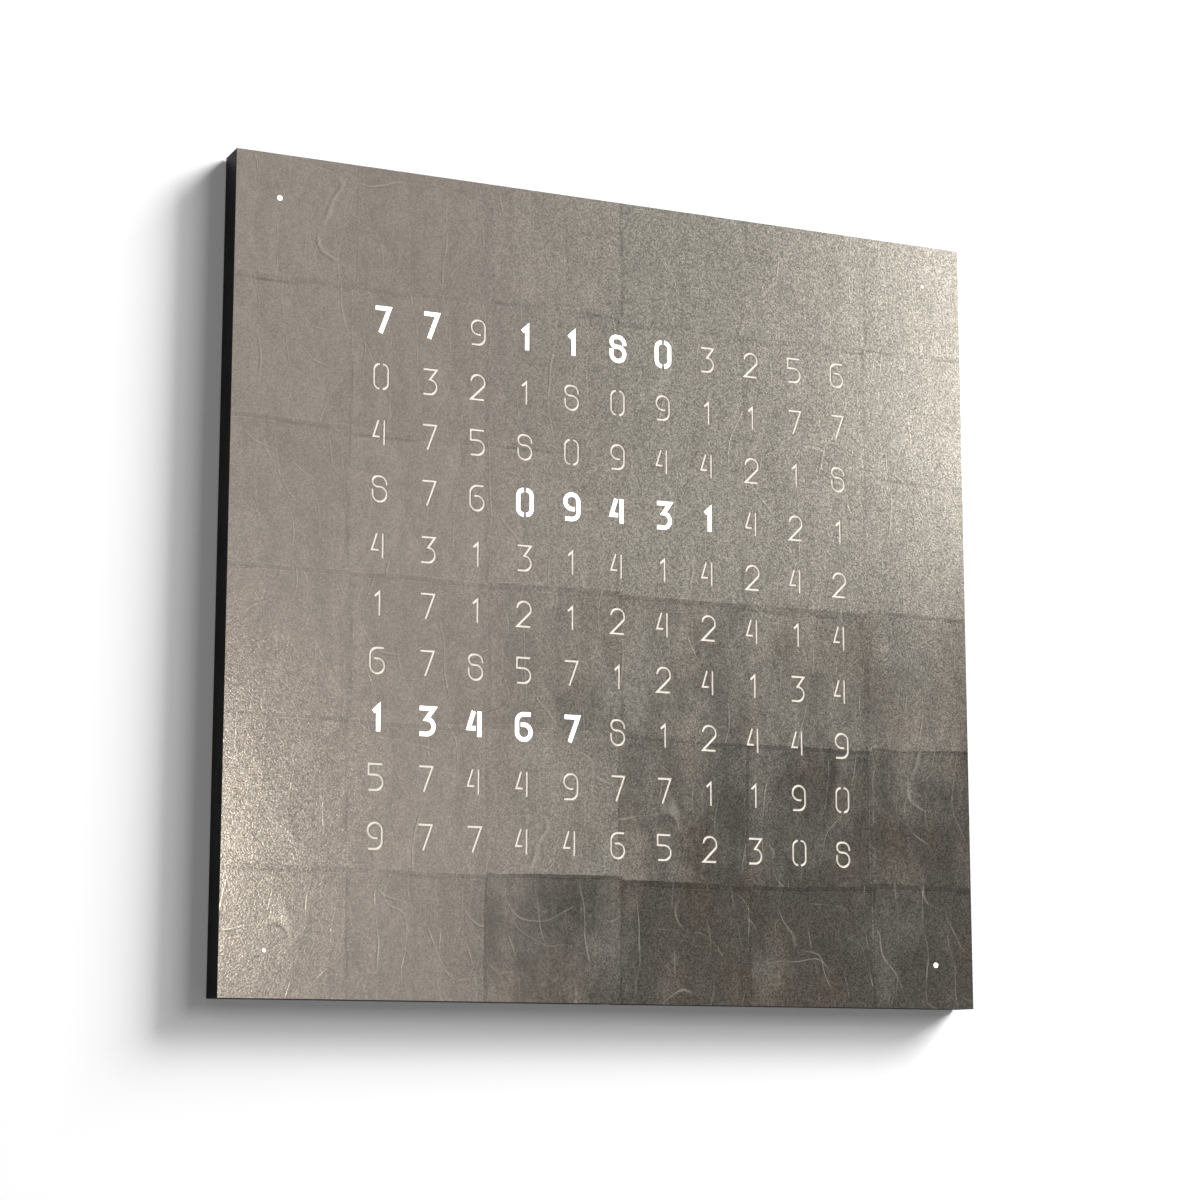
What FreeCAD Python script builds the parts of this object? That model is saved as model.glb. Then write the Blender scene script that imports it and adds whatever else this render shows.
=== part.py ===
import FreeCAD, Part

import math
import os

# Wall clock that tells the time by lighting characters cut through a square metal cover.
#
# The cover is a steel sheet that magnets hold on a shallow wooden case. Behind it lie an opal
# diffuser, a light grid with one chamber for each character, and boards that carry one lamp in
# each chamber. Everything but the cover hangs on a steel back plate with two keyholes.
#
# Millimetres. The origin is the centre of the back face, on the wall. X runs to the right, Y
# into the wall and Z up, so the front of the cover is at y = -clock_depth.

# Field of characters
columns = 11
rows = 10
column_pitch = 28.2
row_pitch = 31.0
digit_width = 9.6
digit_height = 15.4
stroke_width = 1.6
corner_cut = 2.4        # a bowl's corner, cut at 45 degrees
bridge = 1.4            # metal left standing where a bowl would close
digit_cycle = "7214075143968"    # the digits that the cells show, in turn

# Case
side_margin = 69.9      # from the field to the case's left and right sides
top_margin = 70.0       # from the field to the case's top and bottom
clock_depth = 20.0
cover_thickness = 1.5
rail_width = 15.0
rail_chamfer = 1.0
rebate_width = 6.0      # ledge of each rail that the back plate lies on
back_plate_thickness = 2.0
plate_clearance = 0.3

# Light box
cover_gap = 0.2         # between the cover and the diffuser
diffuser_thickness = 1.0
grid_wall = 1.6
flange_width = 10.0
flange_thickness = 2.0
board_thickness = 1.6
board_height = 4.0      # from the back plate to the rear faces of the boards
lamp_side = 5.0
lamp_height = 1.5

# Clips that hold the boards on the back plate
clip_length = 10.0
clip_post = 4.0
clip_ledge = 3.0
clip_lip = 1.4
clip_spread = 200.0     # between the two clips on each side of the light box

# Minute dots in the corners of the cover
dot_inset = 24.5
dot_diameter = 2.4
pipe_side = 6.0
dot_board_side = 12.0
seat_gap = 0.1          # play round a piece that is glued or pushed into its seat

# Corner blocks
block_side = 34.0
block_chamfer = 8.0
block_screw_long = 25.0     # from the rails' inner faces to the back plate's screws
block_screw_short = 9.0

# Locating tabs and magnets of the cover
tab_length = 7.0
tab_width = 8.0
tab_thickness = 1.5
tab_inset = 40.0        # from the case's side and top to the tab's centre
tab_clearance = 0.3
magnet_length = 20.0
magnet_width = 6.0
magnet_thickness = 2.0
magnet_inset = 75.0     # from the case's corner to the magnet's centre

# Low-head screws of the back plate, in counterbores
screw_diameter = 3.0
screw_head_diameter = 5.8
screw_head_height = 1.0
screw_length = 12.0
small_round_sides = 12  # flats that stand for the round of a screw or a dot

# Keyholes
keyhole_spacing = 240.0
keyhole_inset = 42.0
keyhole_entry = 10.0
keyhole_slot = 5.0
keyhole_rise = 10.0

# Control board beside the light box
control_width = 35.0
control_length = 120.0
control_gap = 3.0       # from the control board to the rail
control_z = -70.0

# Buttons, in a guide let into the right rail
button_pitch = 16.0
button_offset = -6.0    # middle button, above the control board's centre
button_width = 4.5
button_height = 9.0
button_travel = 0.8
button_clearance = 0.15
button_flange = 1.0
button_flange_edge = 1.2
button_recess = 0.2     # from the case's side in to the button's face
guide_length = 72.0
guide_width = 10.0
dish_depth = 1.2
dish_edge = 1.5
switch_depth = 4.0
switch_width = 7.0
switch_height = 5.0
switch_setback = 1.0    # from the board's edge back to the switch
plunger_width = 2.5
plunger_engagement = 1.2
sensor_side = 4.0
sensor_offset = 26.0
lens_diameter = 3.0

# Parts on the control board
part_spacing = 3.0
mcu_width = 18.0
mcu_length = 25.5
mcu_height = 3.2
chip_width = 10.3
chip_length = 7.5
chip_height = 2.6
crystal_length = 8.0
crystal_width = 3.8
crystal_height = 2.5
cell_diameter = 20.0
cell_thickness = 3.2
holder_side = 24.0
holder_height = 5.2
holder_floor = 1.2
inductor_side = 10.0
inductor_height = 5.0
inductor_corner = 2.0

# Power inlet, sideways in a recess so that the plug lies flat behind the clock
recess_length = 70.0
recess_height = 22.0
recess_depth = 12.5
recess_rail_gap = 6.0
cup_wall = 1.5
cup_flange = 3.0
notch_width = 7.0
notch_depth = 7.0
notch_from_end = 8.0
inlet_length = 14.0
inlet_width = 11.0
inlet_height = 9.0
inlet_mouth = 7.0
inlet_bore = 5.7
inlet_bore_depth = 9.0
inlet_pin = 2.1
inlet_pin_setback = 1.0
inlet_axis_depth = 6.9  # behind the case's back

# Leads and connectors
lead_width = 3.0
lead_thickness = 1.4
connector_length = 8.0
connector_width = 5.0
connector_height = 3.4
connector_inset = 14.0  # from the light box board's corner
feed_bend_inset = 21.0  # from the light box board's side in to the feed lead's first bend
feed_bend_drop = 18.0   # from the control board down to its second bend
feed_gap = 0.5          # from the feed lead to the back plate
link_width = 12.0
link_reach = 6.0

# Vents in the back plate
vent_count = 5
vent_pitch = 5.0
vent_width = 2.0
vent_length = 30.0
vent_gap = 12.0         # from the control board up to the slots

# Sizes that follow from the ones above
field_width = columns * column_pitch
field_height = rows * row_pitch
clock_width = field_width + 2 * side_margin
clock_height = field_height + 2 * top_margin
half_width = clock_width / 2
half_height = clock_height / 2
inner_x = half_width - rail_width
inner_z = half_height - rail_width

dot_x = half_width - dot_inset
dot_z = half_height - dot_inset

cover_front = -clock_depth
cover_back = cover_front + cover_thickness
diffuser_front = cover_back + cover_gap
grid_front = diffuser_front + diffuser_thickness
plate_front = -back_plate_thickness
board_back = plate_front - board_height
board_front = board_back - board_thickness
flange_front = board_front - flange_thickness

grid_x = (field_width + grid_wall) / 2
grid_z = (field_height + grid_wall) / 2
board_x = grid_x + flange_width
board_z = grid_z + flange_width
plate_x = inner_x + rebate_width - plate_clearance
plate_z = inner_z + rebate_width - plate_clearance

control_right = inner_x - control_gap
control_left = control_right - control_width
control_bottom = control_z - control_length / 2
control_top = control_z + control_length / 2
switch_right = control_right - switch_setback
button_y = board_front - switch_height / 2
button_middle = control_z + button_offset
guide_z = control_z
sensor_z = control_z + sensor_offset

recess_z0 = -inner_z + recess_rail_gap
recess_z1 = recess_z0 + recess_height
recess_x0 = -notch_from_end
recess_x1 = recess_x0 + recess_length
inlet_z = (recess_z0 + recess_z1) / 2
inlet_back = recess_x1 + cup_wall + inlet_length

buttons = {"minus": -1, "set": 0, "plus": 1}
corners = {"tl": (-1, 1), "tr": (1, 1), "bl": (-1, -1), "br": (1, -1)}


# Basic solids

def vector(x, y, z):
    return FreeCAD.Vector(x, y, z)


def block(x0, x1, y0, y1, z0, z1):
    """Box between opposite corners given in any order."""
    low = vector(min(x0, x1), min(y0, y1), min(z0, z1))
    return Part.makeBox(abs(x1 - x0), abs(y1 - y0), abs(z1 - z0), low)


def outline(points, y):
    """Closed wire in the plane at y through (x, z) points."""
    corner_points = [vector(x, y, z) for x, z in points]
    return Part.makePolygon(corner_points + corner_points[:1])


def prism(points, y0, y1):
    """Solid between y0 and y1 with an outline of (x, z) points."""
    return Part.Face(outline(points, y0)).extrude(vector(0, y1 - y0, 0))


def rod_y(x, z, diameter, y0, y1):
    """Cylinder along Y."""
    return Part.makeCylinder(diameter / 2, y1 - y0, vector(x, y0, z), vector(0, 1, 0))


def rod_x(y, z, diameter, x0, x1):
    """Cylinder along X."""
    return Part.makeCylinder(diameter / 2, x1 - x0, vector(x0, y, z), vector(1, 0, 0))


def round_points(x, z, diameter):
    """Outline of a small round as a polygon of the same width across its corners."""
    turns = [2 * math.pi * index / small_round_sides for index in range(small_round_sides)]
    return [(x + diameter / 2 * math.cos(turn), z + diameter / 2 * math.sin(turn)) for turn in turns]


def group(solids):
    """Separate solids that share one node."""
    return Part.makeCompound(solids)


def mirrored(shape, side_x, side_z):
    """Copy of a shape made for the top right corner, moved to the corner given by two signs."""
    if side_x < 0:
        shape = shape.mirror(vector(0, 0, 0), vector(1, 0, 0))
    if side_z < 0:
        shape = shape.mirror(vector(0, 0, 0), vector(0, 0, 1))
    return shape


def at_every_corner(shape):
    return group([mirrored(shape, *signs) for signs in corners.values()])


# Characters: stencil digits drawn as centre lines, each cut through the cover as a slot

def digit_lines():
    """Centre lines of the digits 0 to 9. A point with a third value is a corner to cut at 45 degrees."""
    right = (digit_width - stroke_width) / 2
    top = (digit_height - stroke_width) / 2
    left, bottom = -right, -top
    waist = 0.08 * digit_height
    gap = stroke_width / 2 + bridge
    diagonal_gap = gap / 2      # leaves about as much metal beside a cut corner
    stem = 0.55 * right
    foot = -0.15 * digit_height
    six = [(right, top), (left, top, 1), (left, bottom, 1), (right, bottom, 1), (right, waist, 1),
           (left + gap, waist)]
    return [
        [[(side * bridge / 2, top), (side * right, top, 1), (side * right, bottom, 1),
          (side * bridge / 2, bottom)] for side in (-1, 1)],
        [[(left / 2, top / 2), (right / 5, top - stroke_width / 2), (right / 5, bottom)]],
        [[(left, top - 1.6 * corner_cut), (left, top, 1), (right, top, 1), (right, waist), (left, bottom),
          (right, bottom)]],
        [[(left, top), (right, top), (0, waist), (right, waist, 1), (right, bottom, 1), (left, bottom)]],
        [[(stem - 1.5 * gap, top), (left, foot), (stem - gap, foot)], [(stem, top), (stem, bottom)]],
        [[(right, top), (left, top), (left, waist), (right, waist, 1), (right, bottom, 1),
          (left, bottom)]],
        [six],
        [[(left, top), (right, top), (left / 4, bottom)]],
        [[(right, waist + diagonal_gap), (right, top, 1), (left, top, 1), (left, waist, 1),
          (right, waist, 1), (right, bottom, 1), (left, bottom, 1), (left, waist - diagonal_gap)]],
        [[(-x, -z, *cut) for x, z, *cut in six]],
    ]


def cut_corners(line):
    """Centre line with each marked corner replaced by the two ends of its 45 degree cut."""
    points = []
    for index, (x, z, *cut) in enumerate(line):
        if not cut:
            points.append((x, z))
            continue
        for near_x, near_z, *_ in (line[index - 1], line[index + 1]):
            reach = math.hypot(near_x - x, near_z - z)
            share = corner_cut / reach
            points.append((x + (near_x - x) * share, z + (near_z - z) * share))
    return points


def stroke_outline(line, width):
    """Outline of a stroke with mitred corners and square ends."""
    normals = []
    for (x0, z0), (x1, z1) in zip(line, line[1:]):
        length = math.hypot(x1 - x0, z1 - z0)
        normals.append(((z0 - z1) / length, (x1 - x0) / length))
    one_side, other_side = [], []
    for (x, z), before, after in zip(line, normals[:1] + normals, normals + normals[-1:]):
        spread = width / 2 / (1 + before[0] * after[0] + before[1] * after[1])
        dx, dz = (before[0] + after[0]) * spread, (before[1] + after[1]) * spread
        one_side.append((x + dx, z + dz))
        other_side.append((x - dx, z - dz))
    return one_side + other_side[::-1]


def digit_at(column, row):
    """Digit in a cell, from a walk round the cycle that differs from row to row."""
    return int(digit_cycle[(5 * column + 4 * row + row * column // 3) % len(digit_cycle)])


def cell_centre(column, row):
    """Centre of a cell, with column 0 on the left and row 0 at the top."""
    x = (column - (columns - 1) / 2) * column_pitch
    z = ((rows - 1) / 2 - row) * row_pitch
    return x, z


def cells():
    return [(column, row) for row in range(rows) for column in range(columns)]


# Cover

def front_plate():
    """Steel sheet with the digits and the four minute dots cut through it."""
    edge = [(-half_width, -half_height), (half_width, -half_height), (half_width, half_height),
            (-half_width, half_height)]
    wires = [outline(edge, cover_front)]
    lines = [[cut_corners(line) for line in digit] for digit in digit_lines()]
    for column, row in cells():
        cell_x, cell_z = cell_centre(column, row)
        for line in lines[digit_at(column, row)]:
            shape = stroke_outline(line, stroke_width)
            wires.append(outline([(cell_x + x, cell_z + z) for x, z in shape], cover_front))
    for side_x, side_z in corners.values():
        wires.append(outline(round_points(side_x * dot_x, side_z * dot_z, dot_diameter), cover_front))
    return Part.makeFace(wires, "Part::FaceMakerBullseye").extrude(vector(0, cover_thickness, 0))


def tab(front, extra):
    """Tab of the top right corner, or with some extra on each side the slot that it enters."""
    x, z = half_width - tab_inset, half_height - tab_inset
    reach_x, reach_z = tab_width / 2 + extra, tab_thickness / 2 + extra
    return block(x - reach_x, x + reach_x, front, cover_back + tab_length + extra, z - reach_z, z + reach_z)


def locating_tabs():
    """Two tabs welded to the back of the cover, which enter the upper corner blocks."""
    right = tab(cover_back, 0)
    return group([right, mirrored(right, -1, 1)])


# Case

def rail(half_long, half_across):
    """Rail of the case along X with mitred ends, at the bottom of a frame of the given half sizes."""
    shape = prism([(-half_long, -half_across), (half_long, -half_across),
                   (half_long - rail_width, rail_width - half_across),
                   (rail_width - half_long, rail_width - half_across)], cover_back, 0)
    ledge = rail_width - rebate_width
    rebate = block(ledge - half_long, half_long - ledge, plate_front, 0, ledge - half_across,
                   rail_width - half_across)
    middle = vector(0, 0, -half_across)
    outer_edge = min(shape.Edges, key=lambda edge: edge.CenterOfMass.distanceToPoint(middle))
    magnet_x = half_long - magnet_inset
    pockets = [magnet(side * magnet_x, rail_width / 2 - half_across, seat_gap) for side in (-1, 1)]
    return shape.makeChamfer(rail_chamfer, [outer_edge]).cut([rebate] + pockets)


def magnet(x, z, extra):
    """Bar magnet, or with some extra its pocket, in the front of a rail along X."""
    return block(x - magnet_length / 2 - extra, x + magnet_length / 2 + extra,
                 cover_back + seat_gap - extra, cover_back + seat_gap + magnet_thickness,
                 z - magnet_width / 2 - extra, z + magnet_width / 2 + extra)


def turned(shape, quarter_turns):
    """Copy turned about Y, from the bottom towards the left side for each quarter turn."""
    copy = shape.copy()
    copy.rotate(vector(0, 0, 0), vector(0, 1, 0), 90 * quarter_turns)
    return copy


def rails():
    """Top, bottom, left and right rails, with the cable notch and the mortise of the button guide."""
    across, upright = rail(half_width, half_height), rail(half_height, half_width)
    notch = block(-notch_width / 2, notch_width / 2, -notch_depth, 0, -half_height, -inner_z)
    mortise = block(inner_x, half_width, button_y - guide_width / 2, button_y + guide_width / 2,
                    guide_z - guide_length / 2, guide_z + guide_length / 2)
    return {"rail_bottom": across.cut(notch), "rail_left": turned(upright, 1),
            "rail_top": turned(across, 2), "rail_right": turned(upright, 3).cut(mortise)}


def cover_magnets():
    """Two bar magnets let into the front of each rail, just below the cover."""
    solids = []
    for half_long, half_across, turns in ((half_width, half_height, (0, 2)),
                                          (half_height, half_width, (1, 3))):
        for side in (-1, 1):
            bar = magnet(side * (half_long - magnet_inset), rail_width / 2 - half_across, 0)
            solids += [turned(bar, turn) for turn in turns]
    return group(solids)


def corner_block(side_x, side_z):
    """Block glued into a corner: it holds a minute dot's lamp and light pipe, and takes a screw."""
    body = prism([(inner_x, inner_z), (inner_x - block_side, inner_z),
                  (inner_x - block_side, inner_z - block_side + block_chamfer),
                  (inner_x - block_side + block_chamfer, inner_z - block_side),
                  (inner_x, inner_z - block_side)], diffuser_front, plate_front)
    pipe_seat = square_y(dot_x, dot_z, pipe_side + 2 * seat_gap, diffuser_front, board_front)
    board_seat = square_y(dot_x, dot_z, dot_board_side + 2 * seat_gap, board_front, plate_front)
    lead_slot = block(inner_x - block_side, dot_x, board_back, plate_front,
                      dot_z - lead_width, dot_z + lead_width)
    body = body.cut([pipe_seat, board_seat, lead_slot, block_screw()])
    if side_z > 0:
        body = body.cut(tab(diffuser_front, tab_clearance))
    return mirrored(body, side_x, side_z)


def square_y(x, z, side, y0, y1):
    """Square bar along Y."""
    return block(x - side / 2, x + side / 2, y0, y1, z - side / 2, z + side / 2)


def dot_light_pipes():
    """Clear square rods that carry the corner lamps' light to the dots."""
    lamp_front = board_front - lamp_height
    return at_every_corner(square_y(dot_x, dot_z, pipe_side, diffuser_front, lamp_front))


def dot_boards():
    """Small boards seated in the corner blocks, one for each minute dot."""
    return at_every_corner(square_y(dot_x, dot_z, dot_board_side, board_front, board_back))


def dot_lamps():
    return at_every_corner(square_y(dot_x, dot_z, lamp_side, board_front - lamp_height, board_front))


def block_screw():
    """Low-head screw through the back plate into the top right corner block."""
    x, z = inner_x - block_screw_short, inner_z - block_screw_long
    head = prism(round_points(x, z, screw_head_diameter), -screw_head_height, 0)
    shank = prism(round_points(x, z, screw_diameter), -screw_length, -screw_head_height)
    return head.fuse(shank)


def keyhole(x):
    """Keyhole through the back plate: round entry below, slot above."""
    entry_z = half_height - keyhole_inset
    entry = rod_y(x, entry_z, keyhole_entry, plate_front, 0)
    slot_top = rod_y(x, entry_z + keyhole_rise, keyhole_slot, plate_front, 0)
    slot = block(x - keyhole_slot / 2, x + keyhole_slot / 2, plate_front, 0, entry_z,
                 entry_z + keyhole_rise)
    return entry.fuse([slot_top, slot])


def vents():
    """Upright slots through the back plate above the control board."""
    first = (control_left + control_right - vent_width - (vent_count - 1) * vent_pitch) / 2
    low = control_top + vent_gap
    lefts = [first + index * vent_pitch for index in range(vent_count)]
    return [block(left, left + vent_width, plate_front, 0, low, low + vent_length) for left in lefts]


def back_plate():
    """Steel sheet in the rails' rebate, with keyholes, vents and the window of the inlet's recess."""
    sheet = block(-plate_x, plate_x, plate_front, 0, -plate_z, plate_z)
    edge = cup_wall + seat_gap
    window = block(recess_x0 - edge, recess_x1 + edge, plate_front, 0, recess_z0 - edge, recess_z1 + edge)
    notch = block(-notch_width / 2, notch_width / 2, plate_front, 0, -plate_z, recess_z0)
    holes = [keyhole(side * keyhole_spacing / 2) for side in (-1, 1)]
    screws = [mirrored(block_screw(), *signs) for signs in corners.values()]
    return sheet.cut([window, notch] + holes + screws + vents())


# Light box

def diffuser_sheet():
    return block(-grid_x, grid_x, diffuser_front, grid_front, -grid_z, grid_z)


def light_grid():
    """Moulded grid with an open chamber behind each character and a flange against the boards."""
    walls = block(-grid_x, grid_x, grid_front, board_front, -grid_z, grid_z)
    flange = block(-board_x, board_x, flange_front, board_front, -board_z, board_z)
    chambers = []
    for column, row in cells():
        x, z = cell_centre(column, row)
        reach_x, reach_z = (column_pitch - grid_wall) / 2, (row_pitch - grid_wall) / 2
        chambers.append(block(x - reach_x, x + reach_x, grid_front, board_front, z - reach_z, z + reach_z))
    return walls.fuse(flange).cut(chambers)


def lamp_boards():
    """Upper and lower lamp boards, which meet in the middle."""
    return {"lamp_board_upper": block(-board_x, board_x, board_front, board_back, 0, board_z),
            "lamp_board_lower": block(-board_x, board_x, board_front, board_back, -board_z, 0)}


def lamp_row(row):
    """Lamps of one row of characters."""
    centres = [cell_centre(column, row) for column in range(columns)]
    return group([square_y(x, z, lamp_side, board_front - lamp_height, board_front) for x, z in centres])


def clip(edge, grip_front):
    """Clip that stands on the back plate beyond z = edge and grips what lies over its ledge."""
    profile = [(edge - clip_ledge, plate_front), (edge + clip_post, plate_front),
               (edge + clip_post, grip_front - clip_lip), (edge - clip_lip, grip_front - clip_lip),
               (edge - clip_lip, grip_front), (edge, grip_front), (edge, board_back),
               (edge - clip_ledge, board_back)]
    wire = Part.makePolygon([vector(0, y, z) for z, y in profile + profile[:1]])
    solid = Part.Face(wire).extrude(vector(clip_length, 0, 0))
    solid.translate(vector(-clip_length / 2, 0, 0))
    return solid


def moved(shape, x, z):
    copy = shape.copy()
    copy.translate(vector(x, 0, z))
    return copy


def board_clips():
    """Two clips on each side of the light box, and one at each end of the control board."""
    solids = []
    for edge, turns in ((board_z, (0, 2)), (board_x, (1, 3))):
        for side in (-1, 1):
            one = moved(clip(edge, flange_front), side * clip_spread / 2, 0)
            solids += [turned(one, turn) for turn in turns]
    end = clip(control_length / 2, board_front)
    solids += [moved(turned(end, turn), control_left + clip_length / 2, control_z) for turn in (0, 2)]
    return group(solids)


def board_links():
    """Plug-and-socket links between the two lamp boards, and to the control board."""
    rear = board_back + connector_height
    solids = [block(side * board_x / 2 - link_width / 2, side * board_x / 2 + link_width / 2, board_back,
                    rear, -link_reach, link_reach) for side in (-1, 1)]
    solids.append(block(board_x - link_reach, control_left + link_reach, board_back, rear,
                        control_z, control_z + link_width))
    return group(solids)


# Control board and its parts

def on_board(x, z, width, length, height):
    """Box-shaped part that stands on the front of the control board."""
    return block(x - width / 2, x + width / 2, board_front - height, board_front, z - length / 2,
                 z + length / 2)


def board_column():
    """Middle of the strip of the control board left of the switches."""
    return (control_left + switch_right - switch_depth) / 2


def inductor(x, z):
    """Shielded inductor of the lamps' supply, square with its corners cut."""
    half, cut = inductor_side / 2, inductor_side / 2 - inductor_corner
    points = [(half, -cut), (half, cut), (cut, half), (-cut, half), (-half, cut), (-half, -cut),
              (-cut, -half), (cut, -half)]
    return prism([(x + dx, z + dz) for dx, dz in points], board_front - inductor_height, board_front)


def control_parts():
    """Control board with its module, clock chip, crystal, inductor, coin cell and light sensor."""
    x = board_column()
    z = control_bottom + part_spacing
    module = on_board(x, z + mcu_length / 2, mcu_width, mcu_length, mcu_height)
    z += mcu_length + part_spacing
    chip = on_board(x, z + chip_length / 2, chip_width, chip_length, chip_height)
    z += chip_length + part_spacing
    crystal = on_board(x, z + crystal_width / 2, crystal_length, crystal_width, crystal_height)
    z += crystal_width + part_spacing
    supply = inductor(x, z + inductor_side / 2)
    z += inductor_side + part_spacing
    cell_z = z + holder_side / 2
    seat = board_front - holder_floor
    pocket = square_y(x, cell_z, cell_diameter + 2 * seat_gap, board_front - holder_height, seat)
    holder = on_board(x, cell_z, holder_side, holder_side, holder_height).cut(pocket)
    cell = rod_y(x, cell_z, cell_diameter, seat - cell_thickness, seat)
    sensor = on_board(switch_right - sensor_side / 2, sensor_z, sensor_side, sensor_side, switch_height)
    return {"control_board": block(control_left, control_right, board_front, board_back,
                                   control_bottom, control_top),
            "microcontroller_module": module, "clock_chip": chip, "quartz_crystal": crystal,
            "power_inductor": supply, "coin_cell_holder": holder, "coin_cell": cell,
            "light_sensor": sensor}


# Buttons

def bar_x(z, width, height, x0, x1):
    """Bar along X on the buttons' line, width along Y and height along Z."""
    return block(x0, x1, button_y - width / 2, button_y + width / 2, z - height / 2, z + height / 2)


def button(z):
    """Push button with a flange that stops it against the inside of its guide."""
    shaft = bar_x(z, button_width, button_height, inner_x, half_width - button_recess)
    flange = bar_x(z, button_width + 2 * button_flange_edge, button_height + 2 * button_flange_edge,
                   inner_x - button_flange, inner_x)
    return shaft.fuse(flange).removeSplitter()


def plunger(z):
    """Moving stem of a switch, between its body and the button's flange."""
    return bar_x(z, plunger_width, plunger_width, switch_right - plunger_engagement,
                 inner_x - button_flange)


def switch_body(z):
    """Side-pressed switch on the edge of the control board, with a well for its plunger."""
    body = block(switch_right - switch_depth, switch_right, button_y - switch_height / 2,
                 button_y + switch_height / 2, z - switch_width / 2, z + switch_width / 2)
    open_width = plunger_width + 2 * button_clearance
    well = bar_x(z, open_width, open_width, switch_right - plunger_engagement - button_travel
                 - button_clearance, switch_right)
    return body.cut(well)


def button_guide(heights):
    """Moulded guide in the right rail's mortise, dished outside, with a slot for each button."""
    body = bar_x(guide_z, guide_width, guide_length, inner_x, half_width)
    dish = bar_x(guide_z, guide_width - 2 * dish_edge, guide_length - 2 * dish_edge,
                 half_width - dish_depth, half_width)
    slots = [bar_x(z, button_width + 2 * button_clearance, button_height + 2 * button_clearance,
                   inner_x, half_width) for z in heights]
    lens_bore = rod_x(button_y, sensor_z, lens_diameter, inner_x, half_width)
    return body.cut([dish, lens_bore] + slots)


def button_parts():
    parts = {}
    heights = []
    for name, place in buttons.items():
        z = button_middle + place * button_pitch
        heights.append(z)
        parts["button_" + name] = button(z)
        parts["plunger_" + name] = plunger(z)
    parts["button_guide"] = button_guide(heights)
    parts["switch_bodies"] = group([switch_body(z) for z in heights])
    parts["sensor_lens"] = rod_x(button_y, sensor_z, lens_diameter, switch_right + seat_gap,
                                 half_width - dish_depth)
    return parts


# Power inlet

def inlet_cup():
    """Moulded recess behind the window of the back plate, open to the wall and to the cable notch."""
    outer = block(recess_x0 - cup_wall, recess_x1 + cup_wall, -recess_depth - cup_wall, 0,
                  recess_z0 - cup_wall, recess_z1 + cup_wall)
    edge = cup_wall + cup_flange
    flange = block(recess_x0 - edge, recess_x1 + edge, plate_front - cup_wall, plate_front,
                   recess_z0 - edge, recess_z1 + edge)
    hollow = block(recess_x0, recess_x1, -recess_depth, 0, recess_z0, recess_z1)
    notch = block(-notch_width / 2, notch_width / 2, -notch_depth, 0, recess_z0 - edge, recess_z0)
    mouth = rod_x(-inlet_axis_depth, inlet_z, inlet_mouth, recess_x1, recess_x1 + edge)
    back_room = block(recess_x1 + cup_wall, recess_x1 + edge, -inlet_axis_depth - inlet_height / 2,
                      plate_front, inlet_z - inlet_width / 2, inlet_z + inlet_width / 2)
    return outer.fuse(flange).cut([hollow, notch, mouth, back_room])


def dc_inlet():
    """Barrel inlet on the end wall of the recess, with its centre pin."""
    face = recess_x1 + cup_wall
    body = block(face, inlet_back, -inlet_axis_depth - inlet_height / 2,
                 -inlet_axis_depth + inlet_height / 2, inlet_z - inlet_width / 2,
                 inlet_z + inlet_width / 2)
    bore = rod_x(-inlet_axis_depth, inlet_z, inlet_bore, face, face + inlet_bore_depth)
    pin = rod_x(-inlet_axis_depth, inlet_z, inlet_pin, face + inlet_pin_setback, face + inlet_bore_depth)
    return body.cut(bore).fuse(pin)


# Leads: flat twin leads lying in a plane, straight runs joined by tangent arcs

def lead(points, y0, bend_share=0.45):
    """Flat lead through (x, z) points. Each bend uses the given share of its shorter run."""
    edges = []
    start = vector(points[0][0], y0, points[0][1])
    for before, corner, after in zip(points, points[1:], points[2:]):
        here = vector(corner[0], y0, corner[1])
        back = vector(before[0], y0, before[1]) - here
        onward = vector(after[0], y0, after[1]) - here
        reach = bend_share * min(back.Length, onward.Length)
        half_turn = (math.pi - back.getAngle(onward)) / 2
        radius = reach / math.tan(half_turn)
        back.normalize()
        onward.normalize()
        inward = back + onward
        inward.normalize()
        centre = here + inward * math.hypot(reach, radius)
        first, last = here + back * reach, here + onward * reach
        edges.append(Part.makeLine(start, first))
        edges.append(Part.Arc(first, centre - inward * radius, last).toShape())
        start = last
    edges.append(Part.makeLine(start, vector(points[-1][0], y0, points[-1][1])))
    side = Part.Wire(edges)
    run = edges[0].tangentAt(edges[0].FirstParameter)
    across = run.cross(vector(0, 1, 0)) * (lead_width / 2)
    section = Part.makePolygon([side.Vertexes[0].Point + across * sign + vector(0, depth, 0)
                                for sign, depth in ((-1, 0), (1, 0), (1, lead_thickness),
                                                    (-1, lead_thickness), (-1, 0))])
    return side.makePipeShell([section], True, True)


def dot_leads():
    """Leads from the lamp boards' corners to the minute dots' boards."""
    end_x = board_x - connector_inset
    path = [(dot_x - dot_board_side / 4, dot_z), (end_x, dot_z), (end_x, board_z)]
    return at_every_corner(lead(path, board_back))


def feed_lead():
    """Lead from the power inlet round the corner of the light box to the control board."""
    end_x = (control_left + control_right) / 2
    path = [(inlet_back, inlet_z), (board_x - feed_bend_inset, inlet_z),
            (end_x, control_bottom - feed_bend_drop), (end_x, control_bottom)]
    return lead(path, plate_front - feed_gap - lead_thickness)


def lead_connectors():
    """Sockets for the leads on the rear of the boards."""
    rear = board_back + connector_height
    end_x = board_x - connector_inset
    one = block(end_x - connector_length / 2, end_x + connector_length / 2, board_back, rear,
                board_z - connector_width, board_z)
    middle = (control_left + control_right) / 2
    feed = block(middle - connector_length / 2, middle + connector_length / 2, board_back, rear,
                 control_bottom, control_bottom + connector_width)
    return group([mirrored(one, *signs) for signs in corners.values()] + [feed])


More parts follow.
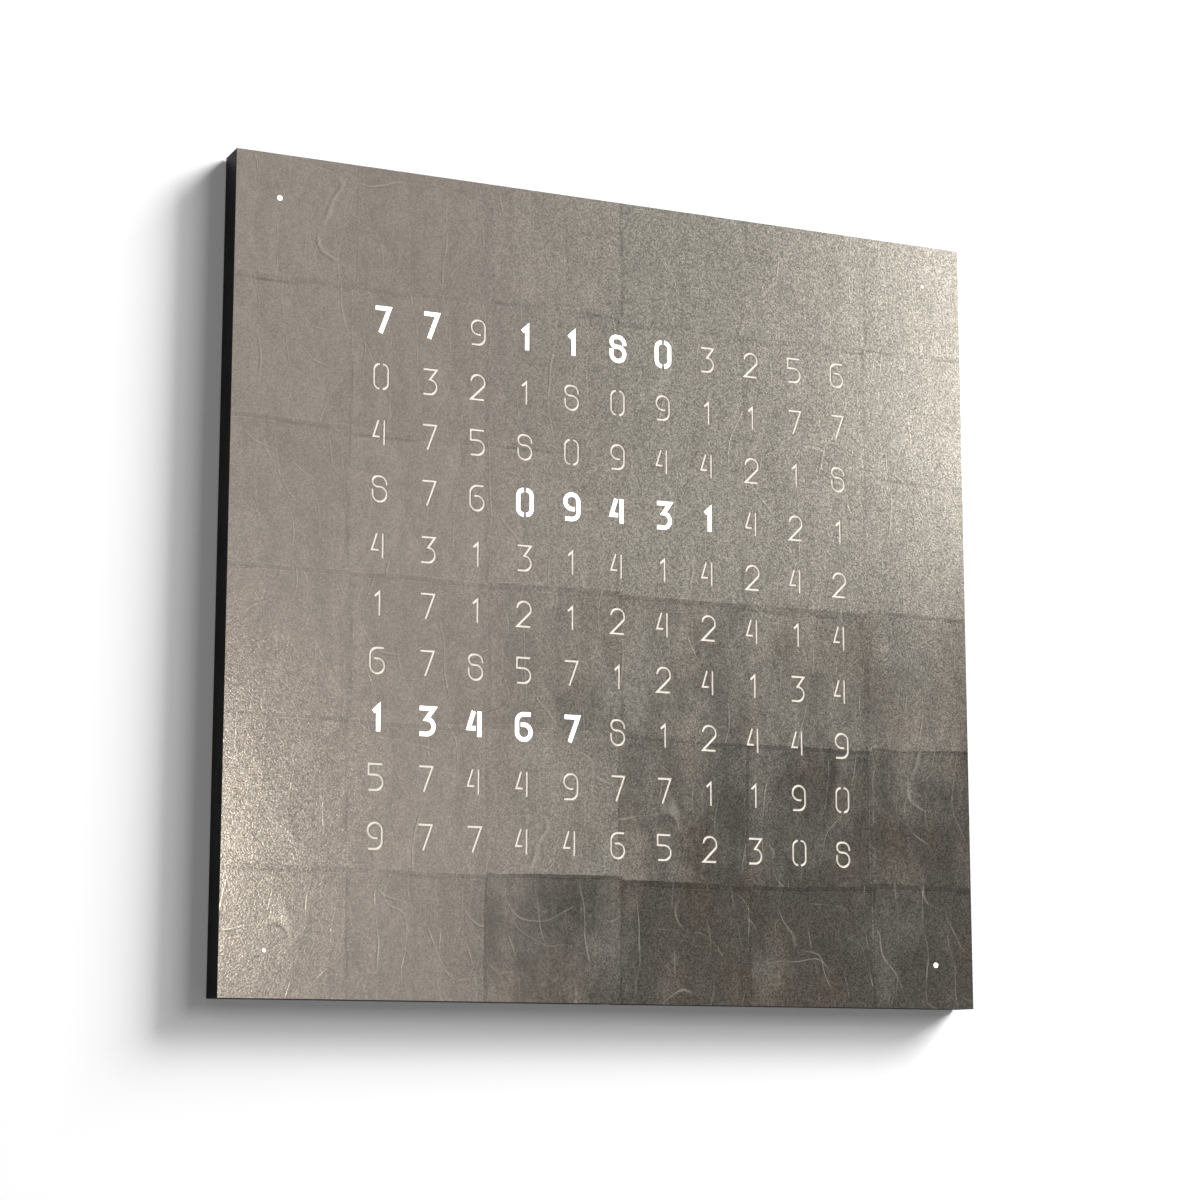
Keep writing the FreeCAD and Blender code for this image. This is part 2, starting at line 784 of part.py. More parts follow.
def all_parts():
    """Every node with its shape."""
    parts = {"front_plate": front_plate(), "locating_tabs": locating_tabs()}
    parts.update(rails())
    for name, signs in corners.items():
        parts["corner_block_" + name] = corner_block(*signs)
    parts["cover_magnets"] = cover_magnets()
    parts["back_plate"] = back_plate()
    parts["back_plate_screws"] = at_every_corner(block_screw())
    parts["diffuser_sheet"] = diffuser_sheet()
    parts["light_grid"] = light_grid()
    parts.update(lamp_boards())
    for row in range(rows):
        parts[f"lamp_row_{row + 1:02d}"] = lamp_row(row)
    parts["board_clips"] = board_clips()
    parts["board_links"] = board_links()
    parts["dot_light_pipes"] = dot_light_pipes()
    parts["dot_boards"] = dot_boards()
    parts["dot_lamps"] = dot_lamps()
    parts["dot_leads"] = dot_leads()
    parts.update(control_parts())
    parts.update(button_parts())
    parts["inlet_cup"] = inlet_cup()
    parts["dc_inlet"] = dc_inlet()
    parts["feed_lead"] = feed_lead()
    parts["lead_connectors"] = lead_connectors()
    return parts


os.makedirs("parts", exist_ok=True)
for name, shape in all_parts().items():
    shape.exportStep(f"parts/{name}.step")
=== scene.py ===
import math

import bmesh
import bpy
from mathutils import Matrix, Vector


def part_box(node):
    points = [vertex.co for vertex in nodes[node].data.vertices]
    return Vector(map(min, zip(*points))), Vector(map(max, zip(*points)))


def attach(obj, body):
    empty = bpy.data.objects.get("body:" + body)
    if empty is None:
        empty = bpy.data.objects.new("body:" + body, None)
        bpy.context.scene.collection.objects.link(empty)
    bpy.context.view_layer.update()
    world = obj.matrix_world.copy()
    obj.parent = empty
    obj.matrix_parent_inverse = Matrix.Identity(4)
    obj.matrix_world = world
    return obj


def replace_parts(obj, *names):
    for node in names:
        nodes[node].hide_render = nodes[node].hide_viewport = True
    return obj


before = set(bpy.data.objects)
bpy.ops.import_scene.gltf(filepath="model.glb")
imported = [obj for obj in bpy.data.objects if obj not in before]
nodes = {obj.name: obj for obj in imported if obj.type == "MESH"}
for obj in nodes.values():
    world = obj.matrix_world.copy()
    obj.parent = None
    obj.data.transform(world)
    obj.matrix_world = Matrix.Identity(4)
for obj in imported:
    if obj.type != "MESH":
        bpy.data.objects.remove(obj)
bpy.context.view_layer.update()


# Rails of the case. Four lengths of beech, mitred and glued at the corners and sprayed with black
# lacquer that is rubbed down to a satin. The pores of the wood still print through along each
# length, and the lacquer is rubbed thin on the arrises.

def linear(colour):
    """Linear RGBA of an sRGB hex colour."""
    shares = [int(colour[place:place + 2], 16) / 255 for place in (1, 3, 5)]
    return [s / 12.92 if s <= 0.04045 else ((s + 0.055) / 1.055) ** 2.4 for s in shares] + [1]


def add(tree, kind, inputs=None, **settings):
    """Adds a node with its settings, and sets or links its inputs by name or number."""
    node = tree.nodes.new(kind)
    for name, value in settings.items():
        setattr(node, name, value)
    for name, value in (inputs or {}).items():
        if isinstance(value, bpy.types.NodeSocket):
            tree.links.new(value, node.inputs[name])
        else:
            node.inputs[name].default_value = value
    return node


def material(name, **shader_values):
    """New material: the material, its tree, its shader and the place of each point in metres."""
    made = bpy.data.materials.new(name)
    made.use_nodes = True
    tree = made.node_tree
    shader = tree.nodes["Principled BSDF"]
    for socket, value in shader_values.items():
        shader.inputs[socket.replace("_", " ")].default_value = value
    return made, tree, shader, add(tree, "ShaderNodeTexCoord").outputs["Object"]


def wire(tree, shader, **sockets):
    """Links what has been worked out to the shader's inputs."""
    for socket, source in sockets.items():
        tree.links.new(source, shader.inputs[socket.replace("_", " ")])


def worn_edges(tree, radius):
    """Normal of an edge softened by a radius in metres, and a mask that is 1 on the edge itself."""
    soft = add(tree, "ShaderNodeBevel", {"Radius": radius}, samples=6).outputs[0]
    flat = add(tree, "ShaderNodeNewGeometry").outputs["Normal"]
    turn = add(tree, "ShaderNodeVectorMath", {0: soft, 1: flat}, operation="DOT_PRODUCT").outputs["Value"]
    return soft, add(tree, "ShaderNodeMapRange", {0: turn, 1: 0.985, 2: 0.9, 3: 0.0, 4: 1.0}).outputs[0]


def dress(made, *names):
    """Gives one material to nodes that keep their own shape."""
    for name in names:
        nodes[name].data.materials.clear()
        nodes[name].data.materials.append(made)


# Black satin lacquer on beech: near-black, with brown only on the rubbed edges. The pores are 0.2 mm
# wide and about 5 mm long, drawn 1 mm wide and 14 mm long so that they show, with dust in them.
pore_width, pore_share, cloud_width, arris = 0.001, 0.07, 0.025, 0.0007
for along, stretch, rail_names in (("across", (pore_share, 1, 1), ("rail_top", "rail_bottom")),
                                   ("upright", (1, 1, pore_share), ("rail_left", "rail_right"))):
    lacquer, tree, shader, place = material("beech_sprayed_black_lacquer_" + along, Specular_IOR_Level=0.05)
    grain_place = add(tree, "ShaderNodeVectorMath", {0: place, 1: stretch}, operation="MULTIPLY").outputs[0]
    pores = add(tree, "ShaderNodeTexNoise", {"Vector": grain_place, "Scale": 1 / pore_width,
                                             "Detail": 2.0}).outputs[0]
    dust = add(tree, "ShaderNodeMapRange", {0: pores, 1: 0.56, 2: 0.72, 3: 0.0, 4: 0.7}).outputs[0]
    cloud = add(tree, "ShaderNodeTexNoise", {"Vector": place, "Scale": 1 / cloud_width,
                                             "Detail": 4.0}).outputs[0]
    soft, edge = worn_edges(tree, arris)
    rubbed = add(tree, "ShaderNodeMath", {0: edge, 1: cloud}, operation="MULTIPLY").outputs[0]
    rubbed = add(tree, "ShaderNodeMapRange", {0: rubbed, 1: 0.36, 2: 0.6, 3: 0.0, 4: 0.6}).outputs[0]
    tone = add(tree, "ShaderNodeMix", {0: cloud, 6: linear("#060607"), 7: linear("#0c0c0d")},
               data_type="RGBA").outputs[2]
    tone = add(tree, "ShaderNodeMix", {0: dust, 6: tone, 7: linear("#1c1a18")}, data_type="RGBA").outputs[2]
    tone = add(tree, "ShaderNodeMix", {0: rubbed, 6: tone, 7: linear("#3a2c20")},
               data_type="RGBA").outputs[2]
    sheen = add(tree, "ShaderNodeMapRange", {0: cloud, 1: 0.3, 2: 0.7, 3: 0.42, 4: 0.6}).outputs[0]
    relief = add(tree, "ShaderNodeBump", {"Strength": 0.3, "Distance": 0.0002, "Height": pores,
                                          "Normal": soft}).outputs[0]
    wire(tree, shader, Base_Color=tone, Roughness=sheen, Normal=relief)
    dress(lacquer, *rail_names)


# Corner blocks. Black ABS mouldings glued into the corners of the case; each seats a minute dot's
# board and light pipe. Their faces carry the fine matt texture of a spark-eroded mould.

def moulded(name, dark, light, roughness, grit, **shader_values):
    """Moulded plastic: two close tones, a texture as coarse as the mould's grit, soft edges."""
    flow_width, arris = 0.0182, 0.0004
    made, tree, shader, place = material(name, **shader_values)
    speck = add(tree, "ShaderNodeTexNoise",
                {"Vector": place, "Scale": 0.7 / grit, "Detail": 3.0}).outputs[0]
    flow = add(tree, "ShaderNodeTexNoise",
               {"Vector": place, "Scale": 1 / flow_width, "Detail": 3.0}).outputs[0]
    soft, edge = worn_edges(tree, arris)
    tone = add(tree, "ShaderNodeMix", {0: flow, 6: linear(dark), 7: linear(light)},
               data_type="RGBA").outputs[2]
    rub = add(tree, "ShaderNodeMath", {0: edge, 1: 0.35}, operation="MULTIPLY").outputs[0]
    tone = add(tree, "ShaderNodeMix", {0: rub, 6: tone, 7: linear(light)}, data_type="RGBA").outputs[2]
    sheen = add(tree, "ShaderNodeMapRange", {0: speck, 1: 0.3, 2: 0.7, 3: roughness - 0.07,
                                             4: roughness + 0.07}).outputs[0]
    relief = add(tree, "ShaderNodeBump", {"Strength": 0.3, "Distance": grit / 8, "Height": speck,
                                          "Normal": soft}).outputs[0]
    wire(tree, shader, Base_Color=tone, Roughness=sheen, Normal=relief)
    return made


black_abs = moulded("abs_moulded_black_spark_texture", "#0f0f10", "#1d1d1f", 0.55, 0.0006,
                    Specular_IOR_Level=0.2)
dress(black_abs, "corner_block_tl", "corner_block_tr", "corner_block_bl", "corner_block_br")


# Cover magnets. Bar magnets let into the fronts of the rails and glued. Nickel plate gives them a
# warm, bright grey with cloudy tarnish, and tumbling leaves short scratches 0.3 mm apart.

scratch_width, tarnish_width, arris = 0.000333, 0.004, 0.0004
nickel, tree, shader, place = material("magnet_nickel_plated", Metallic=1.0)
scratch_place = add(tree, "ShaderNodeVectorMath", {0: place, 1: (1, 1, 0.1)},
                    operation="MULTIPLY").outputs[0]
scratches = add(tree, "ShaderNodeTexNoise", {"Vector": scratch_place, "Scale": 1 / scratch_width,
                                             "Detail": 2.0}).outputs[0]
tarnish = add(tree, "ShaderNodeTexNoise",
              {"Vector": place, "Scale": 1 / tarnish_width, "Detail": 3.0}).outputs[0]
tone = add(tree, "ShaderNodeMix", {0: tarnish, 6: linear("#b5b0a6"), 7: linear("#d6d2c9")},
           data_type="RGBA").outputs[2]
sheen = add(tree, "ShaderNodeMapRange", {0: scratches, 1: 0.3, 2: 0.7, 3: 0.16, 4: 0.34}).outputs[0]
soft = worn_edges(tree, arris)[0]
relief = add(tree, "ShaderNodeBump", {"Strength": 0.15, "Distance": 0.00004, "Height": scratches,
                                      "Normal": soft}).outputs[0]
wire(tree, shader, Base_Color=tone, Roughness=sheen, Normal=relief)
dress(nickel, "cover_magnets")


# Back plate. Laser-cut 2 mm steel sheet in the rails' rebate, powder coated black. The coat has a
# fine orange peel, drawn 2.4 mm wide so that it shows, and the keyholes are scuffed to the steel.

peel_width, mist_width, scuff_width, rub_width, arris = 0.002381, 0.071429, 0.0014286, 0.002381, 0.0005
keyhole_x, keyhole_z, plate_middle, scraped_core, scraped_reach = 0.12, 0.19, -0.001, 0.004, 0.016
powder, tree, shader, place = material("steel_powder_coated_black", Specular_IOR_Level=0.2)
peel = add(tree, "ShaderNodeTexNoise", {"Vector": place, "Scale": 1 / peel_width, "Detail": 3.0}).outputs[0]
mist = add(tree, "ShaderNodeTexNoise", {"Vector": place, "Scale": 1 / mist_width, "Detail": 8.0,
                                        "Roughness": 0.65}).outputs[0]
scuff_place = add(tree, "ShaderNodeVectorMath", {0: place, 1: (1, 1, 0.25)},
                  operation="MULTIPLY").outputs[0]
scuffs = add(tree, "ShaderNodeTexNoise", {"Vector": scuff_place, "Scale": 1 / scuff_width,
                                          "Detail": 4.0}).outputs[0]
# The screws on the wall have scraped the coat round each keyhole's slot.
from_slot = [add(tree, "ShaderNodeVectorMath", {0: place, 1: (side_x * keyhole_x, plate_middle, keyhole_z)},
                 operation="DISTANCE").outputs["Value"] for side_x in (-1, 1)]
from_slot = add(tree, "ShaderNodeMath", {0: from_slot[0], 1: from_slot[1]}, operation="MINIMUM").outputs[0]
handled = add(tree, "ShaderNodeMapRange", {0: from_slot, 1: scraped_core, 2: scraped_reach,
                                           3: 1.0, 4: 0.0}).outputs[0]
soft, edge = worn_edges(tree, arris)
bare = add(tree, "ShaderNodeMath", {0: handled, 1: edge}, operation="MULTIPLY").outputs[0]
bare = add(tree, "ShaderNodeMath", {0: handled, 1: 0.75, 2: bare}, operation="MULTIPLY_ADD").outputs[0]
bare = add(tree, "ShaderNodeMath", {0: bare, 1: scuffs}, operation="MULTIPLY").outputs[0]
bare = add(tree, "ShaderNodeMapRange", {0: bare, 1: 0.33, 2: 0.42, 3: 0.0, 4: 1.0}).outputs[0]
mist = add(tree, "ShaderNodeMapRange", {0: mist, 1: 0.32, 2: 0.68, 3: 0.0, 4: 1.0}).outputs[0]
# Pale rubs left by the wall, a few centimetres long and leaning to one side.
rub_place = add(tree, "ShaderNodeVectorRotate", {"Vector": place, "Angle": 0.35},
                rotation_type="Y_AXIS").outputs[0]
rub_place = add(tree, "ShaderNodeVectorMath", {0: rub_place, 1: (1, 1, 0.06)},
                operation="MULTIPLY").outputs[0]
rub = add(tree, "ShaderNodeTexNoise",
          {"Vector": rub_place, "Scale": 1 / rub_width, "Detail": 2.0}).outputs[0]
rub = add(tree, "ShaderNodeMapRange", {0: rub, 1: 0.66, 2: 0.74, 3: 0.0, 4: 0.4}).outputs[0]
rub = add(tree, "ShaderNodeMath", {0: rub, 1: mist}, operation="MULTIPLY").outputs[0]
tone = add(tree, "ShaderNodeMix", {0: mist, 6: linear("#161617"), 7: linear("#29292a")},
           data_type="RGBA").outputs[2]
tone = add(tree, "ShaderNodeMix", {0: rub, 6: tone, 7: linear("#6a6a68")}, data_type="RGBA").outputs[2]
tone = add(tree, "ShaderNodeMix", {0: bare, 6: tone, 7: linear("#a3a29c")}, data_type="RGBA").outputs[2]
sheen = add(tree, "ShaderNodeMapRange", {0: mist, 3: 0.38, 4: 0.58}).outputs[0]
relief = add(tree, "ShaderNodeBump", {"Strength": 0.5, "Distance": 0.0003, "Height": peel,
                                      "Normal": soft}).outputs[0]
wire(tree, shader, Base_Color=tone, Roughness=sheen, Metallic=bare, Normal=relief)
dress(powder, "back_plate")


# Screws of the back plate. Four black zinc plated low-head screws with cross recesses, driven
# through the plate into the corner blocks. The driver has polished the rims of the recesses.

def piece(name, shape, body, slot, *materials):
    """Turns a finished mesh into a piece that rides on a body."""
    bmesh.ops.remove_doubles(shape, verts=shape.verts, dist=1e-7)
    bmesh.ops.recalc_face_normals(shape, faces=shape.faces)
    mesh = bpy.data.meshes.new(name)
    shape.to_mesh(mesh)
    shape.free()
    for made in materials:
        mesh.materials.append(made)
    mesh.set_sharp_from_angle(angle=math.radians(35))
    made = bpy.data.objects.new(name, mesh)
    bpy.context.scene.collection.objects.link(made)
    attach(made, body)
    return made


def ring(x, z, diameter, steps=40):
    """Round outline of (x, z) points."""
    turns = [2 * math.pi * step / steps for step in range(steps)]
    return [Vector((x + diameter / 2 * math.cos(t), z + diameter / 2 * math.sin(t))) for t in turns]


def filled(shape, outlines, y):
    """Flat faces at y between the first outline and the holes that follow it."""
    edges = []
    for points in outlines:
        corners = [shape.verts.new((point.x, y, point.y)) for point in points]
        edges += [shape.edges.new(pair) for pair in zip(corners, corners[1:] + corners[:1])]
    made = bmesh.ops.triangle_fill(shape, edges=edges, use_beauty=True)["geom"]
    return [part for part in made if isinstance(part, bmesh.types.BMFace)]


def skin(shape, levels):
    """Faces between outlines of equally many (x, z) points, given as (y, points) from end to end."""
    rows = [[shape.verts.new((point.x, y, point.y)) for point in points] for y, points in levels]
    for low, high in zip(rows, rows[1:]):
        for first in range(len(low)):
            last = (first + 1) % len(low)
            shape.faces.new((low[first], low[last], high[last], high[first]))


screw_length, shank_diameter, core_radius = 0.012, 0.0029, 0.00105
head_diameter, rim_diameter, head_height, head_round = 0.0058, 0.0054, 0.001, 0.0002
recess_arm, recess_slit, recess_depth, recess_taper = 0.0017, 0.00045, 0.00065, 0.7
thread_height, thread_pitch, thread_rows, row_height, point_length = 0.0004, 0.0012, 53, 0.0002, 0.0018
screw_x, screw_z = 0.201, 0.185


def screw(shape, x, z):
    """Screw whose head ends at y = 0, with a cross recess and a rolled thread that ends in a point."""
    arm, slit = recess_arm, recess_slit
    cross = [Vector((x + a, z + b)) for a, b in (
        (arm, -slit), (arm, slit), (slit, slit), (slit, arm), (-slit, arm), (-slit, slit),
        (-arm, slit), (-arm, -slit), (-slit, -slit), (-slit, -arm), (slit, -arm), (slit, -slit))]
    tapered = [Vector((x, z)) + (point - Vector((x, z))) * recess_taper for point in cross]
    rim, side, shank = [ring(x, z, diameter) for diameter in (rim_diameter, head_diameter, shank_diameter)]
    filled(shape, [rim, cross], 0)
    skin(shape, [(0, cross), (-recess_depth, tapered)])
    filled(shape, [tapered], -recess_depth)
    skin(shape, [(0, rim), (-head_round, side), (-head_height, side), (-head_height, shank)])
    thread = []
    for row in range(thread_rows):
        depth = head_height + row * row_height
        taper = min(1, (screw_length - depth) / point_length)
        points = []
        for step in range(len(shank)):
            share = (depth / thread_pitch + step / len(shank)) % 1
            crest = max(0, 1 - abs(share - 0.5) * 5)
            radius = max(0.0001, (core_radius + thread_height * crest) * taper)
            turn = 2 * math.pi * step / len(shank)
            points.append(Vector((x + radius * math.cos(turn), z + radius * math.sin(turn))))
        thread.append((-depth, points))
    skin(shape, [(-head_height, shank)] + thread)
    filled(shape, [thread[-1][1]], thread[-1][0])


screws = bmesh.new()
for side_x in (-1, 1):
    for side_z in (-1, 1):
        screw(screws, side_x * screw_x, side_z * screw_z)
# Black zinc over steel reads as a blotchy blue-grey metal, brighter on the rubbed edges.
blotch_width, arris = 0.00111, 0.0002
black_zinc, tree, shader, place = material("screw_steel_black_zinc_plated", Metallic=1.0)
blotch = add(tree, "ShaderNodeTexNoise",
             {"Vector": place, "Scale": 1 / blotch_width, "Detail": 3.0}).outputs[0]
soft, edge = worn_edges(tree, arris)
tone = add(tree, "ShaderNodeMix", {0: blotch, 6: linear("#58595c"), 7: linear("#88898b")},
           data_type="RGBA").outputs[2]
tone = add(tree, "ShaderNodeMix", {0: edge, 6: tone, 7: linear("#b5b3ac")}, data_type="RGBA").outputs[2]
sheen = add(tree, "ShaderNodeMapRange", {0: blotch, 1: 0.3, 2: 0.7, 3: 0.28, 4: 0.42}).outputs[0]
wire(tree, shader, Base_Color=tone, Roughness=sheen, Normal=soft)
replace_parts(piece("cross_head_screws", screws, "housing", "zinc_screw_steel", black_zinc),
            "back_plate_screws")


# Inlet recess. A black ABS cup held between the back plate and the case, so that the plug can lie
# sideways behind the clock. The barrel inlet in its end wall has a nickel plated centre pin.

dress(black_abs, "inlet_cup")
# The pin is 2.1 mm across, so the plating covers what lies within 1.2 mm of the inlet's axis.
inlet_y, inlet_z, plated_reach, speck_width = -0.0069, -0.193, 0.0012, 0.000667
inlet_plastic, tree, shader, place = material("inlet_moulded_black_with_nickel_pin", Specular_IOR_Level=0.5)
off_axis = add(tree, "ShaderNodeVectorMath", {0: place, 1: (0, 1, 1), 2: (0, -inlet_y, -inlet_z)},
               operation="MULTIPLY_ADD").outputs[0]
off_axis = add(tree, "ShaderNodeVectorMath", {0: off_axis}, operation="LENGTH").outputs["Value"]
pin = add(tree, "ShaderNodeMath", {0: off_axis, 1: plated_reach}, operation="LESS_THAN").outputs[0]
speck = add(tree, "ShaderNodeTexNoise",
            {"Vector": place, "Scale": 1 / speck_width, "Detail": 3.0}).outputs[0]
resin = add(tree, "ShaderNodeMix", {0: speck, 6: linear("#101011"), 7: linear("#1c1c1e")},
            data_type="RGBA").outputs[2]
plate = add(tree, "ShaderNodeMix", {0: speck, 6: linear("#b9b4a9"), 7: linear("#dad6cd")},
            data_type="RGBA").outputs[2]
tone = add(tree, "ShaderNodeMix", {0: pin, 6: resin, 7: plate}, data_type="RGBA").outputs[2]
sheen = add(tree, "ShaderNodeMapRange", {0: pin, 3: 0.45, 4: 0.22}).outputs[0]
relief = add(tree, "ShaderNodeBump", {"Strength": 0.2, "Distance": 0.00004, "Height": speck}).outputs[0]
wire(tree, shader, Base_Color=tone, Roughness=sheen, Metallic=pin, Normal=relief)
dress(inlet_plastic, "dc_inlet")


# Lamp boards. Two glass-epoxy boards with white solder mask that meet in the middle, held on the
# back plate by natural nylon clips and joined by plug-and-socket links.

def solder_mask(name, bare, over_copper, track_pitch):
    """Solder mask over tracks that run in parallel with square turns, and a grid of tinned vias."""
    via_pitch, via_share, cloud_width = 0.00625, 0.07, 0.00833
    made, tree, shader, place = material(name, Specular_IOR_Level=0.5)
    flat = add(tree, "ShaderNodeVectorMath", {0: place, 1: (1, 0, 1)}, operation="MULTIPLY").outputs[0]
    # The tracks turn round squares of some twenty track pitches.
    squares = add(tree, "ShaderNodeTexVoronoi", {"Vector": flat, "Scale": 0.05 / track_pitch,
                                                 "Randomness": 0.8},
                  distance="CHEBYCHEV").outputs["Distance"]
    tracks = add(tree, "ShaderNodeMath", {0: squares, 1: 9.0}, operation="MULTIPLY").outputs[0]
    tracks = add(tree, "ShaderNodeMath", {0: tracks}, operation="FRACT").outputs[0]
    tracks = add(tree, "ShaderNodeMapRange", {0: tracks, 1: 0.55, 2: 0.62, 3: 0.0, 4: 1.0}).outputs[0]
    grid = add(tree, "ShaderNodeTexVoronoi",
               {"Vector": flat, "Scale": 1 / via_pitch, "Randomness": 0.0}).outputs
    round_via = add(tree, "ShaderNodeMath", {0: grid["Distance"], 1: via_share},
                    operation="LESS_THAN").outputs[0]
    few = add(tree, "ShaderNodeMath", {0: grid["Color"], 1: 0.72}, operation="GREATER_THAN").outputs[0]
    via = add(tree, "ShaderNodeMath", {0: round_via, 1: few}, operation="MULTIPLY").outputs[0]
    cloud = add(tree, "ShaderNodeTexNoise", {"Vector": place, "Scale": 1 / cloud_width,
                                             "Detail": 3.0}).outputs[0]
    tone = add(tree, "ShaderNodeMix", {0: tracks, 6: linear(bare), 7: linear(over_copper)},
               data_type="RGBA").outputs[2]
    tone = add(tree, "ShaderNodeMix", {0: via, 6: tone, 7: linear("#c3c1bb")}, data_type="RGBA").outputs[2]
    sheen = add(tree, "ShaderNodeMapRange", {0: cloud, 1: 0.3, 2: 0.7, 3: 0.28, 4: 0.4}).outputs[0]
    height = add(tree, "ShaderNodeMath", {0: tracks, 1: via}, operation="MAXIMUM").outputs[0]
    relief = add(tree, "ShaderNodeBump",
                 {"Strength": 0.4, "Distance": 0.00004, "Height": height}).outputs[0]
    wire(tree, shader, Base_Color=tone, Roughness=sheen, Metallic=via, Normal=relief)
    return made


white_mask = solder_mask("board_glass_epoxy_white_solder_mask", "#e4e5e1", "#d6d8d2", 0.0012)
dress(white_mask, "lamp_board_upper", "lamp_board_lower", "dot_boards")
natural_nylon = moulded("nylon_moulded_natural", "#d8d3c2", "#e9e5d8", 0.42, 0.0005)
dress(natural_nylon, "board_clips", "board_links", "lead_connectors")


# Lamps. White ceramic-filled packages with a round yellow phosphor window, soldered one to each
# chamber of the light grid and one behind each minute dot. The window lies in a shallow dish.

columns, rows = 11, 10
column_pitch, row_pitch = 0.0282, 0.031
dot_place = 0.2005


def lamp_package(name, x0, z0, pitch_x, pitch_z):
    """Package with its window on a grid of lamp centres that passes through (x0, z0)."""
    window_radius, blur, dish_radius, powder_width = 0.0019, 0.00005, 0.0022, 0.000385
    made, tree, shader, place = material(name, Specular_IOR_Level=0.5)
    steps = add(tree, "ShaderNodeVectorMath", {0: place, 1: (x0 - pitch_x / 2, 0, z0 - pitch_z / 2)},
                operation="SUBTRACT").outputs[0]
    steps = add(tree, "ShaderNodeVectorMath", {0: steps, 1: (pitch_x, 1, pitch_z)},
                operation="MODULO").outputs[0]
    steps = add(tree, "ShaderNodeVectorMath", {0: steps, 1: (pitch_x, 1, pitch_z)},
                operation="ADD").outputs[0]
    steps = add(tree, "ShaderNodeVectorMath", {0: steps, 1: (pitch_x, 1, pitch_z)},
                operation="MODULO").outputs[0]
    steps = add(tree, "ShaderNodeVectorMath", {0: steps, 1: (1, 0, 1)}, operation="MULTIPLY").outputs[0]
    off = add(tree, "ShaderNodeVectorMath", {0: steps, 1: (pitch_x / 2, 0, pitch_z / 2)},
              operation="DISTANCE").outputs["Value"]
    window = add(tree, "ShaderNodeMapRange", {0: off, 1: window_radius + blur, 2: window_radius - blur,
                                              3: 0.0, 4: 1.0}).outputs[0]
    dish = add(tree, "ShaderNodeMapRange",
               {0: off, 1: dish_radius, 2: window_radius, 3: 0.0, 4: 1.0}).outputs[0]
    powdered = add(tree, "ShaderNodeTexNoise", {"Vector": place, "Scale": 1 / powder_width,
                                                "Detail": 2.0}).outputs[0]
    phosphor = add(tree, "ShaderNodeMix", {0: powdered, 6: linear("#d9b84a"), 7: linear("#e8cf6c")},
                   data_type="RGBA").outputs[2]
    package = add(tree, "ShaderNodeMix", {0: powdered, 6: linear("#e6e4dc"), 7: linear("#f2f1ea")},
                  data_type="RGBA").outputs[2]
    tone = add(tree, "ShaderNodeMix", {0: window, 6: package, 7: phosphor}, data_type="RGBA").outputs[2]
    sheen = add(tree, "ShaderNodeMapRange", {0: window, 3: 0.5, 4: 0.2}).outputs[0]
    hollow = add(tree, "ShaderNodeMath", {0: 1.0, 1: dish}, operation="SUBTRACT").outputs[0]
    relief = add(tree, "ShaderNodeBump", {"Strength": 0.8, "Distance": 0.0003, "Height": hollow}).outputs[0]
    wire(tree, shader, Base_Color=tone, Roughness=sheen, Normal=relief)
    return made


dress(lamp_package("lamp_ceramic_package_on_field", 0, row_pitch / 2, column_pitch, row_pitch),
      *["lamp_row_%02d" % number for number in range(1, rows + 1)])
dress(lamp_package("lamp_ceramic_package_at_dots", dot_place, dot_place, 2 * dot_place, 2 * dot_place),
      "dot_lamps")


# Light grid and diffuser. The grid is a white polycarbonate moulding with one chamber to each
# character; a sheet of opal acrylic, matt on the front, lies on its walls.

white_grid = moulded("polycarbonate_moulded_white", "#e2e2dc", "#efefea", 0.5, 0.0006,
                     Subsurface_Weight=0.15, Subsurface_Scale=0.002)
dress(white_grid, "light_grid")
opal_sheet = moulded("acrylic_sheet_opal_matt_face", "#e9e5da", "#f3f0e8", 0.6, 0.0003,
                     Subsurface_Weight=0.3, Subsurface_Scale=0.003)
dress(opal_sheet, "diffuser_sheet")


# Light pipes of the minute dots. Square rods of clear cast acrylic, polished at both ends and
# pushed into the corner blocks. Faint saw lines 0.4 mm apart dull their long sides.

saw_line_width = 0.0004
clear_rod, tree, shader, place = material("acrylic_rod_clear_polished", IOR=1.49, Transmission_Weight=0.9)
saw_place = add(tree, "ShaderNodeVectorMath", {0: place, 1: (1, 0.1, 1)}, operation="MULTIPLY").outputs[0]
sawn = add(tree, "ShaderNodeTexNoise", {"Vector": saw_place, "Scale": 1 / saw_line_width,
                                        "Detail": 2.0}).outputs[0]
tone = add(tree, "ShaderNodeMix", {0: sawn, 6: linear("#e3eef0"), 7: linear("#f6fbfc")},
           data_type="RGBA").outputs[2]
sheen = add(tree, "ShaderNodeMapRange", {0: sawn, 1: 0.3, 2: 0.7, 3: 0.05, 4: 0.2}).outputs[0]
wire(tree, shader, Base_Color=tone, Roughness=sheen)
dress(clear_rod, "dot_light_pipes")


# Control board. Green glass-epoxy board beside the light box, with parts placed and soldered by
# machine: chip resistors and capacitors with tinned ends, two lamp drivers and the clock chip.

green_mask = solder_mask("board_glass_epoxy_green_solder_mask", "#14482a", "#1f6338", 0.0006)
dress(green_mask, "control_board")
board_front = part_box("control_board")[0].y


def bar(shape, profile, z0, z1):
    """Solid between z0 and z1 with an outline of (x, y) points."""
    ends = [[shape.verts.new((x, y, z)) for x, y in profile] for z in (z0, z1)]
    for end in ends:
        shape.faces.new(end)
    for first in range(len(profile)):
        last = (first + 1) % len(profile)
        shape.faces.new((ends[0][first], ends[0][last], ends[1][last], ends[1][first]))


